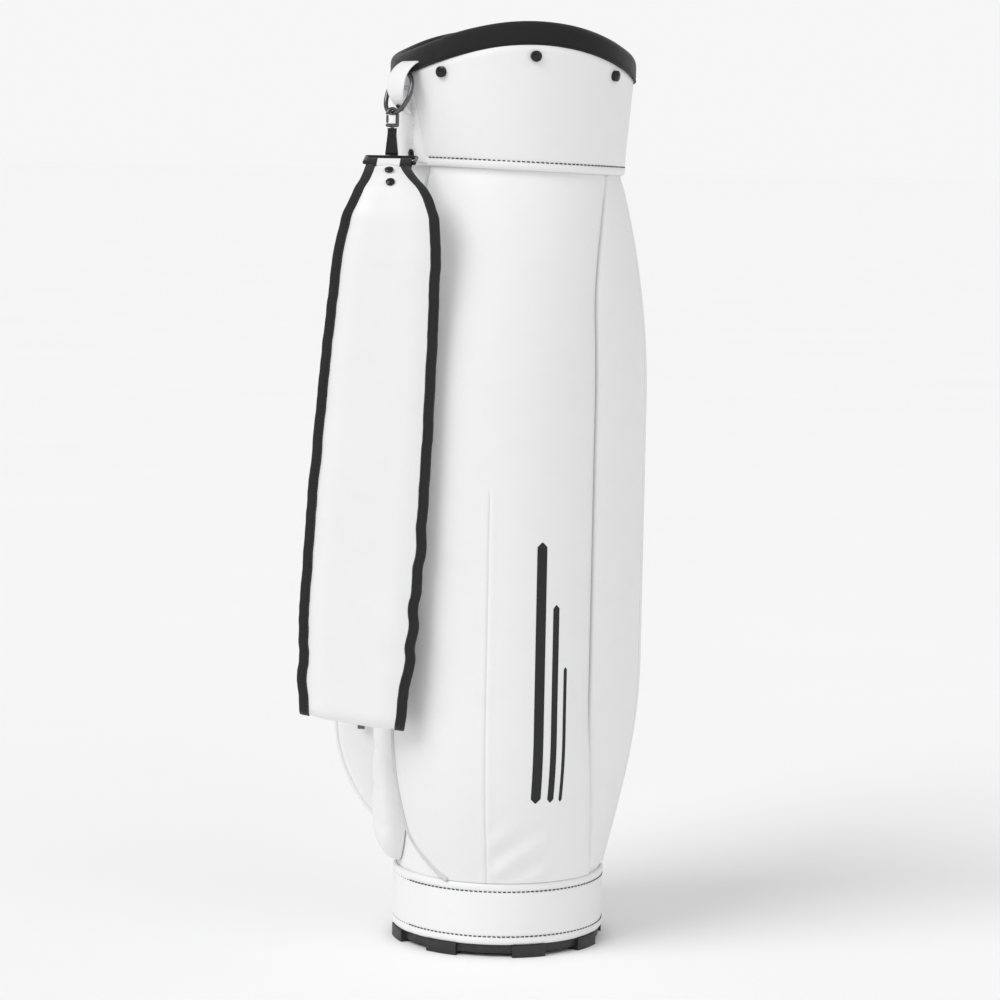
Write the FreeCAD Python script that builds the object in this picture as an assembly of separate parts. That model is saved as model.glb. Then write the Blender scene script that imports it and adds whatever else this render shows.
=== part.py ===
"""Golf staff bag with a hanging padded shoulder strap, in millimetres.

The origin is on the ground at the centre of the base, and +Z is up. The spine is at -X, the
front pocket at +X, one side pocket at -Y (near) and one at +Y (far). Angles are in degrees
about Z from +X. An accessory is drawn in a local frame with X sideways, Y outwards and Z up,
and on_bag turns it to its own angle.
"""
import FreeCAD, Part
import math
import os
from FreeCAD import Vector

# ---- driving dimensions -------------------------------------------------------------------
HEIGHT = 890.0              # ground to the highest point of the rim
BASE_R = 103.0              # outside of the white base band
CUFF_TOP_R = 118.5          # outside of the cuff under the rim
CUFF_BOTTOM_R = 109.0       # outside of the cuff at its lower edge
CLEAR = 0.3                 # gap between neighbouring pieces
SPINE = 180.0               # direction of the spine
UP = Vector(0, 0, 1)

# ---- tube, base and cuff ------------------------------------------------------------------
SKIN = 2.5                                  # foam-backed tube panel
TUBE_R = BASE_R - SKIN - CLEAR              # outside of the tube
TUBE_INNER_R = TUBE_R - SKIN
PLINTH_BOTTOM = 3.6                         # the tray hangs this high between its lugs
FLOOR_TOP = 12.0
TRAY_WALL = 3.0
TRAY_WALL_TOP = 46.0
LUG_R = BASE_R + 1.5
LUG_INNER_R = LUG_R - 16.0
LUG_ANGLE = 18.5
LUG_PAIR = 20.5                             # each lug's angle from the middle of its pair
LUG_PAIRS = [28.0, 118.0, 208.0, 298.0]
BOSS_R = 32.0
RIB_WIDTH = 3.0
RIB_HEIGHT = 4.0
JOIN = 2.0                                  # how far a fused part runs into its neighbour
BAND_GAP = 0.2
BAND_TOP = 72.0
CUFF_BOTTOM = 752.0
CUFF_SKIN = 3.0
RIM_SWING = 15.5                            # the rim dips from the sides to the front and back
RIM_MID = HEIGHT - RIM_SWING
RIM_DEPTH = 21.0
RIM_INNER_R = 109.0
RIM_OUTER_R = CUFF_TOP_R + 1.0
CUFF_TOP_Z = HEIGHT - RIM_DEPTH             # where the cuff's taper reaches CUFF_TOP_R

# ---- spine cover, studs and rivets ----------------------------------------------------------
COVER_DEPTH = 6.0
COVER_BOTTOM = CUFF_BOTTOM + 5
COVER_TOP = 796.0
COVER_LOWER_HALF = 60.0
COVER_UPPER_HALF = 47.0
STUD_BELOW_RIM = 11.0
STUD_R = 5.2
STUD_POST = 2.4
STUD_DOME = 2.2
STUD_GAP = 0.05
STUD_ANGLES = [-135.0, -90.0, -45.0, 45.0, 90.0, 135.0]
RIVET_R = 4.2
RIVET_RISE = 2.4
RIVET_GAP = 0.4
DOME_RIM = 0.45                             # share of a dome's height that is its straight rim
COVER_RIVET_Z = COVER_BOTTOM + 9
COVER_RIVET_ANGLE = 25.5

# ---- grab handle ----------------------------------------------------------------------------
HANDLE_TOP = 672.0
HANDLE_BOTTOM = 516.0
HANDLE_END = 18.0                           # flat riveted length at each end
HANDLE_REACH = 42.0
HANDLE_WIDTH = 26.0
HANDLE_THICK = 5.0
HANDLE_RIVET_SIDE = 6.0

# ---- stays and dividers -------------------------------------------------------------------
ROD_R = 3.0
ROD_CIRCLE_R = 90.0
ROD_ANGLES = [12.0, 102.0, 192.0, 282.0]
SOCKET_R = 5.6
SOCKET_HEIGHT = 16.0
SOCKET_GAP = 0.08
GRID_BOTTOM = 806.0
GRID_TOP = 822.0
GRID_BAR = 8.0
GRID_RING_INNER_R = 96.0
GRID_PLATE = 6.0
PLATE_BOTTOM = GRID_TOP - GRID_PLATE
EAR_INNER_R = 86.0
EAR_ANGLE = 8.0
COLLAR_WALL = 2.5
COLLAR_WALL_BOTTOM = CUFF_BOTTOM + 12.0
COLLAR_DROP = 1.0                           # the collar stops this far under the rim
SHEET = 1.6
DIVIDER_REACH = TUBE_INNER_R - CLEAR - TRAY_WALL - 1.0

# ---- strap ring and its tab ---------------------------------------------------------------
TAB_ANGLE = 204.0
TAB_WIDTH = 30.0
TAB_TIP_WIDTH = 13.0
TAB_TOP = 853.0
TAB_TIP = 802.0
TAB_BULGE_R = 135.0
TAB_THICK = 2.4
TAB_SEAT = 0.8                              # its outer face stands this far off the cuff at its ends
TAB_TIP_SLOPE = math.radians(50)
TAB_RIVET_UP = 7.0
RING_PIVOT = Vector(0, 123.0, 841.0)        # in the tab's local frame
RING_R = 20.0
RING_WIRE = 2.2
RING_LEAN = 20.0

# ---- snap hook and loop -------------------------------------------------------------------
HOOK_WIRE = 1.7
HOOK_BEND_R = 5.5
HOOK_LEG = 10.0
GATE_R = 1.2
NECK_R = 1.8
NECK_BOTTOM = 785.0
COLLAR_R = 4.4
COLLAR_TOP = 789.5
COLLAR_BOTTOM = 783.5
SWIVEL_BOTTOM = 766.0
SWIVEL_TOP_SIZE = (8.0, 6.0)                # width and depth of its body
SWIVEL_BOTTOM_SIZE = (12.0, 5.0)
EYE_RISE = 2.2                              # wall of the eye round the loop's wire
NECK_FIT = 0.06
BORE_BELOW_NECK = 1.5
LOOP_Z = 762.0
LOOP_WIRE = 1.9
LOOP_WIDTH = 47.0
LOOP_REACH = 18.0
LOOP_DROP = 5.0
STRAP_FACING = 255.0                        # direction that the strap pad's face looks

# ---- strap pad: (outwards, height, half width) along its front run --------------------------
PAD_THICK = 9.0
PAD_TOP_THICK = 5.0
PAD_DRIFT = 0.062                           # sideways per unit of drop
PAD_SHIFT = 9.0                             # and a step the other way below the loop
PAD_SHIFT_RUN = 35.0
FOLD_R = 7.0
FOLD_Z = 239.0
PAD_FRONT = [(24, 753, 13), (36, 745, 22), (48, 731, 34), (56, 708, 45), (58, 672, 50),
             (58, 560, 54), (58, 440, 56.5), (58, 330, 56), (58, FOLD_Z, 49)]
FOLD_TURNS = [45, 90, 135, 180]
PAD_BACK = [(44, 300, 40), (44, 352, 20)]
PAD_RIVETS = (0.85, 0.65)                   # places of the rivets along the first two runs
SLEEVE_R = 4.4                              # the pad's top edge, wrapped round the loop's wire
NECK_SIZE = (6.0, 5.0)                      # depth and height of the piece under the sleeve
NECK_SHIFT = (1.0, -1.0)
TAIL_WIDTH = 30.0
TAIL_THICK = 2.4
TAIL_ABOVE_PAD = 1.0
TAIL_END = Vector(0, 6, -22)                # lower end of the tail from the point under the ring
BUCKLE_SIZE = (41.0, 5.6, 26.0)
BUCKLE_SLOT = (35.0, TAIL_THICK + 0.6, 30.0)
BUCKLE_WINDOW = (28.0, 6.0, 7.0)
BUCKLE_WINDOW_AT = (4.0, 7.0)               # outwards, and up or down from its middle
BUCKLE_PLACE = 0.3                          # share of the tail's length from the pad

# ---- lower ring and the tail's hook -------------------------------------------------------
LOWER_RING_Z = 468.0
LOWER_RING_R = 14.0
LOWER_RING_WIRE = 2.0
LOWER_BAR_R = TUBE_R + 7.0                  # distance of the ring's straight bar from the axis
BOW_DROP = 8.0
BOW_SHIFT = 4.0
PLATE_SIZE = (26.0, 3.0, 34.0)
PLATE_R = TUBE_R + 2.2
PLATE_UP = 4.0
EYE_LENGTH = 18.0
EYE_R = LOWER_RING_WIRE + 2.6
EYE_HOLE_R = LOWER_RING_WIRE + 1.6
WEB_SIZE = (18.0, 5.0, 6.0)
WEB_R = TUBE_R + 4.0
WEB_UP = 1.0
RING_SWEEP_R = TUBE_R + 20.0                # a point just under the ring's sweep
RING_SWEEP_Z = LOWER_RING_Z - 2 * LOWER_RING_R - 12.0
TAIL_BAR = (TAIL_WIDTH + 4.0, 5.0, 5.0)
TAIL_BAR_AT = Vector(0, 0, 4.4)
TAIL_SHANK_R = 2.6
TAIL_NOSE_R = 2.2
KNUCKLE = Vector(0, 4, -8)                  # the hook's lower bend and its tip, from that point
NOSE_TIP = Vector(0, 3, 6)

# ---- pockets and zips -----------------------------------------------------------------------
POCKET_TOP = CUFF_BOTTOM - 4
NEAR_GUSSET = -149.0                        # directions of the two side pockets' spine-side walls
FAR_GUSSET = 157.0
CURL_HEIGHT = 50.0                          # the near pocket's edge curls below this height
CURL_ANGLE = 20.5
POCKET_SEAM = 1.0                           # angle between neighbouring pockets
FRONT_NARROW = 40.0                         # half angle of the front pocket at its ends
FRONT_SWELL = 16.0                          # and how much wider it grows
FRONT_LOW_RUN = 180.0
FRONT_HIGH_RUN = 140.0
HIP_HALF = 17.0
TAPE_WIDTH = 26.0
TAPE_THICK = 0.8
TEETH_WIDTH = 5.0
TEETH_THICK = 1.2
SLIDER_SIZE = (9.0, 13.0, 3.4)              # width, height and thickness
PULL_SIZE = (7.0, 30.0, 1.6)
SLIDER_MARGIN = 4.0                         # the slider stops this far from the tape's ends
ZIP_GAP = 0.6
SLIDER_BASE = ZIP_GAP + TAPE_THICK + TEETH_THICK + 0.2
PIN_R = 0.8
PIN_RISE = 2.0
PIN_FIT = 0.08
POST_SIZE = (1.6, 3.0, 4.0)                 # the slider's two posts, which carry its pin
POST_SIDE = 3.2
EYE_WALL = 0.9
EYE_HALF = 2.0                              # half the length of the pull's eye along the pin
SHANK_SIZE = (3.6, 8.0)
SHANK_DROP = 5.0


class Pocket:
    """A closed pocket whose depth is steady between a lower and an upper ramp."""

    def __init__(self, name, bottom, top, ramps, powers, ends, depths, lips):
        self.name = name
        self.bottom = bottom
        self.top = top
        self.ramps = ramps              # lengths of the lower and upper ramps
        self.powers = powers            # how round the two ramps are
        self.ends = ends                # a function of height giving the two end angles
        self.depths = depths            # at the first end, the middle and the second end
        self.lips = lips                # thickness at the bottom and the top edge

    def fullness(self, z):
        low = min(1.0, (z - self.bottom) / self.ramps[0])
        high = min(1.0, (self.top - z) / self.ramps[1])
        rise_low = math.sin(low * math.pi / 2) ** self.powers[0]
        rise_high = math.sin(high * math.pi / 2) ** self.powers[1]
        return min(rise_low, rise_high)

    def lip(self, z):
        share = (z - self.bottom) / (self.top - self.bottom)
        return self.lips[0] + (self.lips[1] - self.lips[0]) * share

    def radius(self, z, place):
        full = self.fullness(z)
        return TUBE_R + CLEAR + self.lip(z) * (1 - full) + self.depths[place] * full

    def levels(self):
        steps = [0.0, 0.08, 0.2, 0.38, 0.62, 1.0]
        low = [self.bottom + self.ramps[0] * s for s in steps]
        high = [self.top - self.ramps[1] * s for s in reversed(steps)]
        return low + high

    def solid(self):
        return Part.makeLoft([self.section(z) for z in self.levels()], True, True)

    def angles(self, z):
        first, last = self.ends(z)
        return first, (first + last) / 2, last

    def outer(self, z):
        """Three points of the outer face at one height."""
        return [polar(self.radius(z, place), angle, z) for place, angle in enumerate(self.angles(z))]

    def face_at(self, z, angle):
        """Distance from the axis and facing direction of the outer face at one angle."""
        arc = Part.Arc(*self.outer(z)).toShape().Curve
        centre = Vector(arc.Center.x, arc.Center.y, 0)
        ray = polar(1, angle, 0)
        along = centre.dot(ray)
        reach = along + math.sqrt(arc.Radius ** 2 - centre.Length ** 2 + along ** 2)
        normal = ray * reach - centre
        return reach, math.degrees(math.atan2(normal.y, normal.x))

    def section(self, z):
        inner = [polar(TUBE_R + CLEAR, angle, z) for angle in self.angles(z)]
        outer = self.outer(z)
        edges = [Part.Arc(*outer).toShape(), Part.makeLine(outer[2], inner[2]),
                 Part.Arc(inner[2], inner[1], inner[0]).toShape(),
                 Part.makeLine(inner[0], outer[0])]
        return Part.Wire(edges)


# ---- general helpers ------------------------------------------------------------------------
def polar(radius, angle, z):
    turn = math.radians(angle)
    return Vector(radius * math.cos(turn), radius * math.sin(turn), z)


def on_bag(shape, angle):
    """Turn a local-frame shape (Y outwards) to face the given direction."""
    placed = shape.copy()
    placed.rotate(Vector(), UP, angle - 90)
    return placed


def on_strap(shape):
    """Place a shape drawn in the strap's frame, whose origin is on the hook's axis."""
    placed = shape.copy()
    placed.rotate(Vector(), UP, STRAP_FACING - 90)
    placed.translate(strap_origin())
    return placed


def strap_origin():
    return polar(ring_foot().y, TAB_ANGLE, 0)


def ring_foot():
    """Centre of the ring's wire at its lowest point, in the tab's frame."""
    lean = math.radians(RING_LEAN)
    drop = Vector(0, math.sin(lean), -math.cos(lean))
    return RING_PIVOT + drop * (2 * RING_R)


def tube(outer, inner, bottom, top):
    height = top - bottom
    hollow = Part.makeCylinder(inner, height, Vector(0, 0, bottom))
    return Part.makeCylinder(outer, height, Vector(0, 0, bottom)).cut(hollow)


def rod(radius, start, end):
    along = end - start
    return Part.makeCylinder(radius, along.Length, start, along)


def wire_frame(points, radius):
    """A closed round-wire frame through the given corners."""
    sides = [rod(radius, start, end) for start, end in zip(points, points[1:] + points[:1])]
    corners = [Part.makeSphere(radius, point) for point in points]
    return sides[0].fuse(sides[1:] + corners)


def sector(outer, inner, bottom, top, first, last):
    """A slice of a tube between two angles."""
    middle = (first + last) / 2
    out = [polar(outer, angle, bottom) for angle in (first, middle, last)]
    back = [polar(inner, angle, bottom) for angle in (last, middle, first)]
    edges = [Part.Arc(*out).toShape(), Part.makeLine(out[2], back[0]),
             Part.Arc(*back).toShape(), Part.makeLine(back[2], out[0])]
    return Part.Face(Part.Wire(edges)).extrude(Vector(0, 0, top - bottom))


def box_about(centre, width, depth, height):
    corner = centre - Vector(width / 2, depth / 2, height / 2)
    return Part.makeBox(width, depth, height, corner)


def dome(radius, height, base, axis):
    """A low domed cap: a short rim with part of a sphere on it, turned about its axis."""
    rim = height * DOME_RIM
    crown = height - rim
    ball_r = (radius ** 2 + crown ** 2) / (2 * crown)
    slope = math.asin(radius / ball_r) / 2
    shoulder = Vector(ball_r * math.sin(slope), 0, height - ball_r * (1 - math.cos(slope)))
    top = Vector(0, 0, height)
    edge = Vector(radius, 0, rim)
    edges = [Part.makeLine(Vector(), Vector(radius, 0, 0)), Part.makeLine(Vector(radius, 0, 0), edge),
             Part.Arc(edge, shoulder, top).toShape(), Part.makeLine(top, Vector())]
    cap = Part.Face(Part.Wire(edges)).revolve(Vector(), UP, 360)
    cap.Placement = FreeCAD.Placement(base, FreeCAD.Rotation(UP, axis))
    return cap


def below_saddle(middle):
    """Everything under the rim's saddle, which is highest at the sides and lowest at the
    front and back. A square patch of two crossed parabolas is exact."""
    reach = 160.0
    swing = RIM_SWING * (reach / RIM_OUTER_R) ** 2
    place = [-reach, 0.0, reach]
    square = [1.0, -1.0, 1.0]
    poles = [[Vector(place[i], place[j], middle + swing * (square[j] - square[i]))
              for j in range(3)] for i in range(3)]
    patch = Part.BezierSurface()
    patch.increase(2, 2)
    for i in range(3):
        for j in range(3):
            patch.setPole(i + 1, j + 1, poles[i][j])
    return patch.toShape().extrude(Vector(0, 0, -HEIGHT))


def cuff_radius(z):
    share = (z - CUFF_BOTTOM) / (CUFF_TOP_Z - CUFF_BOTTOM)
    return CUFF_BOTTOM_R + (CUFF_TOP_R - CUFF_BOTTOM_R) * share


def cuff_cone(offset, bottom, top):
    return Part.makeCone(cuff_radius(bottom) + offset, cuff_radius(top) + offset,
                         top - bottom, Vector(0, 0, bottom))


def cuff_shell(outer_offset, inner_offset, bottom, top):
    return cuff_cone(outer_offset, bottom, top).cut(cuff_cone(inner_offset, bottom, top))


# ---- base -----------------------------------------------------------------------------------
def base_tray():
    """A flat floor with a raised centre boss, paired lugs round its edge and ribs to them."""
    floor = tube(TUBE_R, BOSS_R - JOIN, PLINTH_BOTTOM, FLOOR_TOP)
    boss = Part.makeCylinder(BOSS_R, FLOOR_TOP)
    lugs = [sector(LUG_R, LUG_INNER_R, 0, FLOOR_TOP, middle - LUG_ANGLE / 2, middle + LUG_ANGLE / 2)
            for middle in lug_angles()]
    rib_centre = Vector(0, (BOSS_R + LUG_INNER_R) / 2, PLINTH_BOTTOM)
    rib = box_about(rib_centre, RIB_WIDTH, LUG_INNER_R - BOSS_R + 2 * JOIN, RIB_HEIGHT)
    ribs = [on_bag(rib, angle) for angle in lug_angles()]
    return floor.fuse([boss] + lugs + ribs).removeSplitter()


def lug_angles():
    return [pair + side * LUG_PAIR for pair in LUG_PAIRS for side in (-1, 1)]


def rod_socket(angle):
    foot = polar(ROD_CIRCLE_R, angle, FLOOR_TOP)
    hole = Part.makeCylinder(ROD_R + SOCKET_GAP, SOCKET_HEIGHT, foot)
    return Part.makeCylinder(SOCKET_R, SOCKET_HEIGHT, foot).cut(hole)


def tray_ring():
    """The ring that lines the foot of the tube, with a socket for each stay rod."""
    outer = TUBE_INNER_R - CLEAR
    wall = tube(outer, outer - TRAY_WALL, FLOOR_TOP, TRAY_WALL_TOP)
    return wall.fuse([rod_socket(angle) for angle in ROD_ANGLES]).removeSplitter()


def base_band():
    return tube(BASE_R, TUBE_R + CLEAR, FLOOR_TOP + BAND_GAP, BAND_TOP)


# ---- tube -----------------------------------------------------------------------------------
def shell_panel(first, last):
    return sector(TUBE_R, TUBE_INNER_R, FLOOR_TOP, PLATE_BOTTOM, first, last)


def stay_rods():
    rods = [Part.makeCylinder(ROD_R, PLATE_BOTTOM - FLOOR_TOP, polar(ROD_CIRCLE_R, angle, FLOOR_TOP))
            for angle in ROD_ANGLES]
    return Part.makeCompound(rods)


def divider_wall_long():
    return divider_sheet(Vector(), SHEET, 2 * DIVIDER_REACH)


def divider_walls_cross():
    reach = DIVIDER_REACH - SHEET
    return Part.makeCompound([divider_sheet(Vector(side * (SHEET + reach / 2), 0, 0), reach, SHEET)
                              for side in (-1, 1)])


def divider_sheet(centre, width, depth):
    middle = Vector(0, 0, (FLOOR_TOP + GRID_BOTTOM) / 2)
    return box_about(centre + middle, width, depth, GRID_BOTTOM - FLOOR_TOP)


def top_collar():
    """The moulded tapered wall inside the cuff, under the padded rim."""
    outer = -CUFF_SKIN - CLEAR
    wall = cuff_shell(outer, outer - COLLAR_WALL, COLLAR_WALL_BOTTOM, HEIGHT)
    return wall.common(below_saddle(RIM_MID - RIM_DEPTH - COLLAR_DROP))


def divider_ring():
    """A flat ring inside the collar, with an ear over the end of each stay rod."""
    disc = cuff_cone(-CUFF_SKIN - CLEAR - COLLAR_WALL, PLATE_BOTTOM, GRID_TOP)
    hole = Part.makeCylinder(GRID_RING_INNER_R, GRID_PLATE, Vector(0, 0, PLATE_BOTTOM))
    ears = [sector(GRID_RING_INNER_R + JOIN, EAR_INNER_R, PLATE_BOTTOM, GRID_TOP,
                   angle - EAR_ANGLE / 2, angle + EAR_ANGLE / 2) for angle in ROD_ANGLES]
    return disc.cut(hole).fuse(ears).removeSplitter()


def divider_bars():
    """Two crossed bars that fit between opposite sides of the ring."""
    centre = Vector(0, 0, (GRID_BOTTOM + GRID_TOP) / 2)
    length = 2 * (GRID_RING_INNER_R - CLEAR)
    height = GRID_TOP - GRID_BOTTOM
    across = box_about(centre, length, GRID_BAR, height)
    return across.fuse(box_about(centre, GRID_BAR, length, height)).removeSplitter()


# ---- cuff -----------------------------------------------------------------------------------
def top_cuff():
    shell = cuff_shell(0, -CUFF_SKIN, CUFF_BOTTOM, HEIGHT)
    return shell.common(below_saddle(RIM_MID - RIM_DEPTH))


def rim_padding():
    ring = tube(RIM_OUTER_R, RIM_INNER_R, CUFF_BOTTOM, HEIGHT + 1)
    under = below_saddle(RIM_MID - RIM_DEPTH + 0.2)
    return ring.common(below_saddle(RIM_MID)).cut(under)


def spine_cover():
    """A raised patch on the cuff over the spine, wider at its lower edge."""
    shell = cuff_shell(COVER_DEPTH, CLEAR, COVER_BOTTOM, COVER_TOP)
    corners = [Vector(-COVER_LOWER_HALF, 0, COVER_BOTTOM), Vector(COVER_LOWER_HALF, 0, COVER_BOTTOM),
               Vector(COVER_UPPER_HALF, 0, COVER_TOP), Vector(-COVER_UPPER_HALF, 0, COVER_TOP)]
    outline = Part.makePolygon(corners + corners[:1])
    shield = Part.Face(outline).extrude(Vector(0, 2 * CUFF_TOP_R, 0))
    return on_bag(on_bag(shell, -SPINE).common(shield), SPINE)


def snap_stud(angle):
    """A domed stud square to the tapered cuff, under the rim."""
    turn = math.radians(angle)
    z = RIM_MID - RIM_DEPTH - RIM_SWING * math.cos(2 * turn) - STUD_BELOW_RIM
    taper = math.atan2(CUFF_TOP_R - CUFF_BOTTOM_R, CUFF_TOP_Z - CUFF_BOTTOM)
    axis = Vector(0, math.cos(taper), -math.sin(taper))
    foot = Vector(0, cuff_radius(z), z) + axis * STUD_GAP
    post = Part.makeCylinder(STUD_R, STUD_POST, foot, axis)
    cap = dome(STUD_R, STUD_DOME, foot + axis * STUD_POST, axis)
    return on_bag(post.fuse(cap).removeSplitter(), angle)


def body_rivets():
    """Domed rivets: two on the spine cover, one on the ring tab, four on the handle's ends."""
    outwards = Vector(0, 1, 0)
    cover_r = cuff_radius(COVER_RIVET_Z) + COVER_DEPTH + 2 * RIVET_GAP
    rivets = [rivet(Vector(0, cover_r, COVER_RIVET_Z), outwards, SPINE + side * COVER_RIVET_ANGLE)
              for side in (-1, 1)]
    for z in (HANDLE_TOP - HANDLE_END / 2, HANDLE_BOTTOM + HANDLE_END / 2):
        for side in (-1, 1):
            seat = Vector(side * HANDLE_RIVET_SIDE, TUBE_R + HANDLE_THICK + RIVET_GAP, z)
            rivets.append(rivet(seat, outwards, SPINE))
    tip_z = TAB_TIP + TAB_RIVET_UP
    downwards = Vector(0, math.cos(TAB_TIP_SLOPE), -math.sin(TAB_TIP_SLOPE))
    rivets.append(rivet(Vector(0, ring_tab_surface(tip_z) + RIVET_GAP, tip_z), downwards, TAB_ANGLE))
    return Part.makeCompound(rivets)


def rivet(seat, axis, angle):
    return on_bag(dome(RIVET_R, RIVET_RISE, seat, axis), angle)


# ---- ring tab and ring ------------------------------------------------------------------------
def ring_tab_arcs():
    """Centre height, centre distance and radius of the tab's outer arc."""
    inner_r = cuff_radius(TAB_TOP) + TAB_SEAT
    half = (TAB_TOP - TAB_TIP) / 2
    sagitta = TAB_BULGE_R - inner_r
    radius = (half ** 2 + sagitta ** 2) / (2 * sagitta)
    return (TAB_TOP + TAB_TIP) / 2, TAB_BULGE_R - radius, radius


def ring_tab_surface(z):
    middle, centre, radius = ring_tab_arcs()
    return centre + math.sqrt(radius ** 2 - (z - middle) ** 2)


def ring_tab():
    """A strip that bulges out over the ring's wire and narrows to its riveted tip."""
    middle, centre, radius = ring_tab_arcs()
    axis_start = Vector(-TAB_WIDTH / 2, centre, middle)
    side = Vector(1, 0, 0)
    strip = Part.makeCylinder(radius, TAB_WIDTH, axis_start, side)
    strip = strip.cut(Part.makeCylinder(radius - TAB_THICK, TAB_WIDTH, axis_start, side))
    half = TAB_WIDTH / 2
    tip = TAB_TIP_WIDTH / 2
    outline = [Vector(-half, 0, TAB_TOP), Vector(half, 0, TAB_TOP), Vector(half, 0, middle),
               Vector(tip, 0, TAB_TIP), Vector(-tip, 0, TAB_TIP), Vector(-half, 0, middle),
               Vector(-half, 0, TAB_TOP)]
    keep = Part.Face(Part.makePolygon(outline)).extrude(Vector(0, TAB_BULGE_R + 5, 0))
    strip = strip.common(keep)
    rim = Part.makeCylinder(RIM_OUTER_R + CLEAR, HEIGHT)
    cuff = cuff_cone(CLEAR, CUFF_BOTTOM, HEIGHT)
    return on_bag(strip.cut(cuff.fuse(rim.cut(below_rim_at_tab()))), TAB_ANGLE)


def below_rim_at_tab():
    """A tall block under the height at which the rim begins beside the tab."""
    rim_z = RIM_MID - RIM_DEPTH - RIM_SWING * math.cos(2 * math.radians(TAB_ANGLE)) - 1
    return Part.makeBox(2 * HEIGHT, 2 * HEIGHT, rim_z, Vector(-HEIGHT, -HEIGHT, 0))


def strap_ring():
    lean = math.radians(RING_LEAN)
    centre = (RING_PIVOT + ring_foot()) * 0.5
    ring = Part.makeTorus(RING_R, RING_WIRE, centre, Vector(0, math.cos(lean), math.sin(lean)))
    return on_bag(ring, TAB_ANGLE)


# ---- snap hook ----------------------------------------------------------------------------------
def hook_bend_centre():
    """The hook hangs from the ring's wire, with a small gap inside its bend."""
    hang = HOOK_BEND_R - HOOK_WIRE - RING_WIRE - CLEAR
    return ring_foot() - Vector(0, 0, hang)


def snap_hook():
    centre = hook_bend_centre()
    bend = Part.makeTorus(HOOK_BEND_R, HOOK_WIRE, centre, Vector(1, 0, 0))
    reach = 2 * HOOK_BEND_R
    bend = bend.common(Part.makeBox(2 * reach, 2 * reach, reach, centre - Vector(reach, reach, 0)))
    back = rod(HOOK_WIRE, centre + Vector(0, -HOOK_BEND_R, 0),
               centre + Vector(0, -HOOK_BEND_R, -HOOK_LEG))
    foot = rod(HOOK_WIRE, centre + Vector(0, -HOOK_BEND_R, -HOOK_LEG),
               centre + Vector(0, HOOK_BEND_R, -HOOK_LEG))
    balls = [Part.makeSphere(HOOK_WIRE, centre + Vector(0, side * HOOK_BEND_R, -HOOK_LEG))
             for side in (-1, 1)]
    neck = rod(NECK_R, centre + Vector(0, 0, -HOOK_LEG), Vector(0, centre.y, NECK_BOTTOM))
    return on_bag(bend.fuse([back, foot, neck] + balls).removeSplitter(), TAB_ANGLE)


def gate_pivot():
    return hook_bend_centre() + Vector(0, HOOK_BEND_R, -HOOK_LEG + HOOK_WIRE + CLEAR + GATE_R)


def hook_gate():
    pivot = gate_pivot()
    top = Vector(pivot.x, pivot.y, hook_bend_centre().z - CLEAR - GATE_R)
    arm = rod(GATE_R, pivot, top)
    ends = [Part.makeSphere(GATE_R, pivot), Part.makeSphere(GATE_R, top)]
    return on_bag(arm.fuse(ends).removeSplitter(), TAB_ANGLE)


def hook_swivel():
    """A bored collar, a tapered body and an eye round the loop's back bar."""
    collar = Part.makeCylinder(COLLAR_R, COLLAR_TOP - COLLAR_BOTTOM, Vector(0, 0, COLLAR_BOTTOM))
    body = Part.makeLoft([rectangle(Vector(0, 0, COLLAR_BOTTOM + 1), *SWIVEL_TOP_SIZE),
                          rectangle(Vector(0, 0, SWIVEL_BOTTOM), *SWIVEL_BOTTOM_SIZE)], True, True)
    side = Vector(SWIVEL_BOTTOM_SIZE[0] / 2, 0, 0)
    bar = Vector(0, 0, LOOP_Z)
    eye = rod(LOOP_WIRE + EYE_RISE, bar - side, bar + side)
    eye_hole = rod(LOOP_WIRE + PIN_FIT, bar - side * 2, bar + side * 2)
    bore_bottom = NECK_BOTTOM - BORE_BELOW_NECK
    bore = Part.makeCylinder(NECK_R + NECK_FIT, COLLAR_TOP - bore_bottom, Vector(0, 0, bore_bottom))
    return on_strap(collar.fuse([body, eye]).cut(eye_hole.fuse(bore)).removeSplitter())


def rectangle(centre, width, depth):
    x = width / 2
    y = depth / 2
    corners = [Vector(-x, -y, 0), Vector(x, -y, 0), Vector(x, y, 0), Vector(-x, y, 0)]
    return Part.makePolygon([centre + corner for corner in corners + corners[:1]])


def strap_loop():
    half = LOOP_WIDTH / 2
    back = [Vector(-half, 0, LOOP_Z), Vector(half, 0, LOOP_Z)]
    front = [loop_front() + Vector(side * half, 0, 0) for side in (1, -1)]
    return on_strap(wire_frame(back + front, LOOP_WIRE))


def loop_front():
    return Vector(0, LOOP_REACH, LOOP_Z - LOOP_DROP)


# ---- strap ----------------------------------------------------------------------------------------
def pad_stations():
    """Centre, across-the-pad direction, half width and half thickness along the pad."""
    runs = [(Vector(pad_drift(z), y, z), half) for y, z, half in PAD_FRONT]
    for turn in FOLD_TURNS:
        bend = math.radians(turn)
        y = PAD_FRONT[-1][0] - FOLD_R * (1 - math.cos(bend))
        z = FOLD_Z - FOLD_R * math.sin(bend)
        runs.append((Vector(pad_drift(z), y, z), PAD_FRONT[-1][2]))
    runs += [(Vector(pad_drift(z), y, z), half) for y, z, half in PAD_BACK]
    return runs


def pad_drift(z):
    drop = PAD_FRONT[0][1] - z
    step = math.sin(min(1.0, max(0.0, drop) / PAD_SHIFT_RUN) * math.pi / 2)
    return PAD_DRIFT * drop - PAD_SHIFT * step


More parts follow.
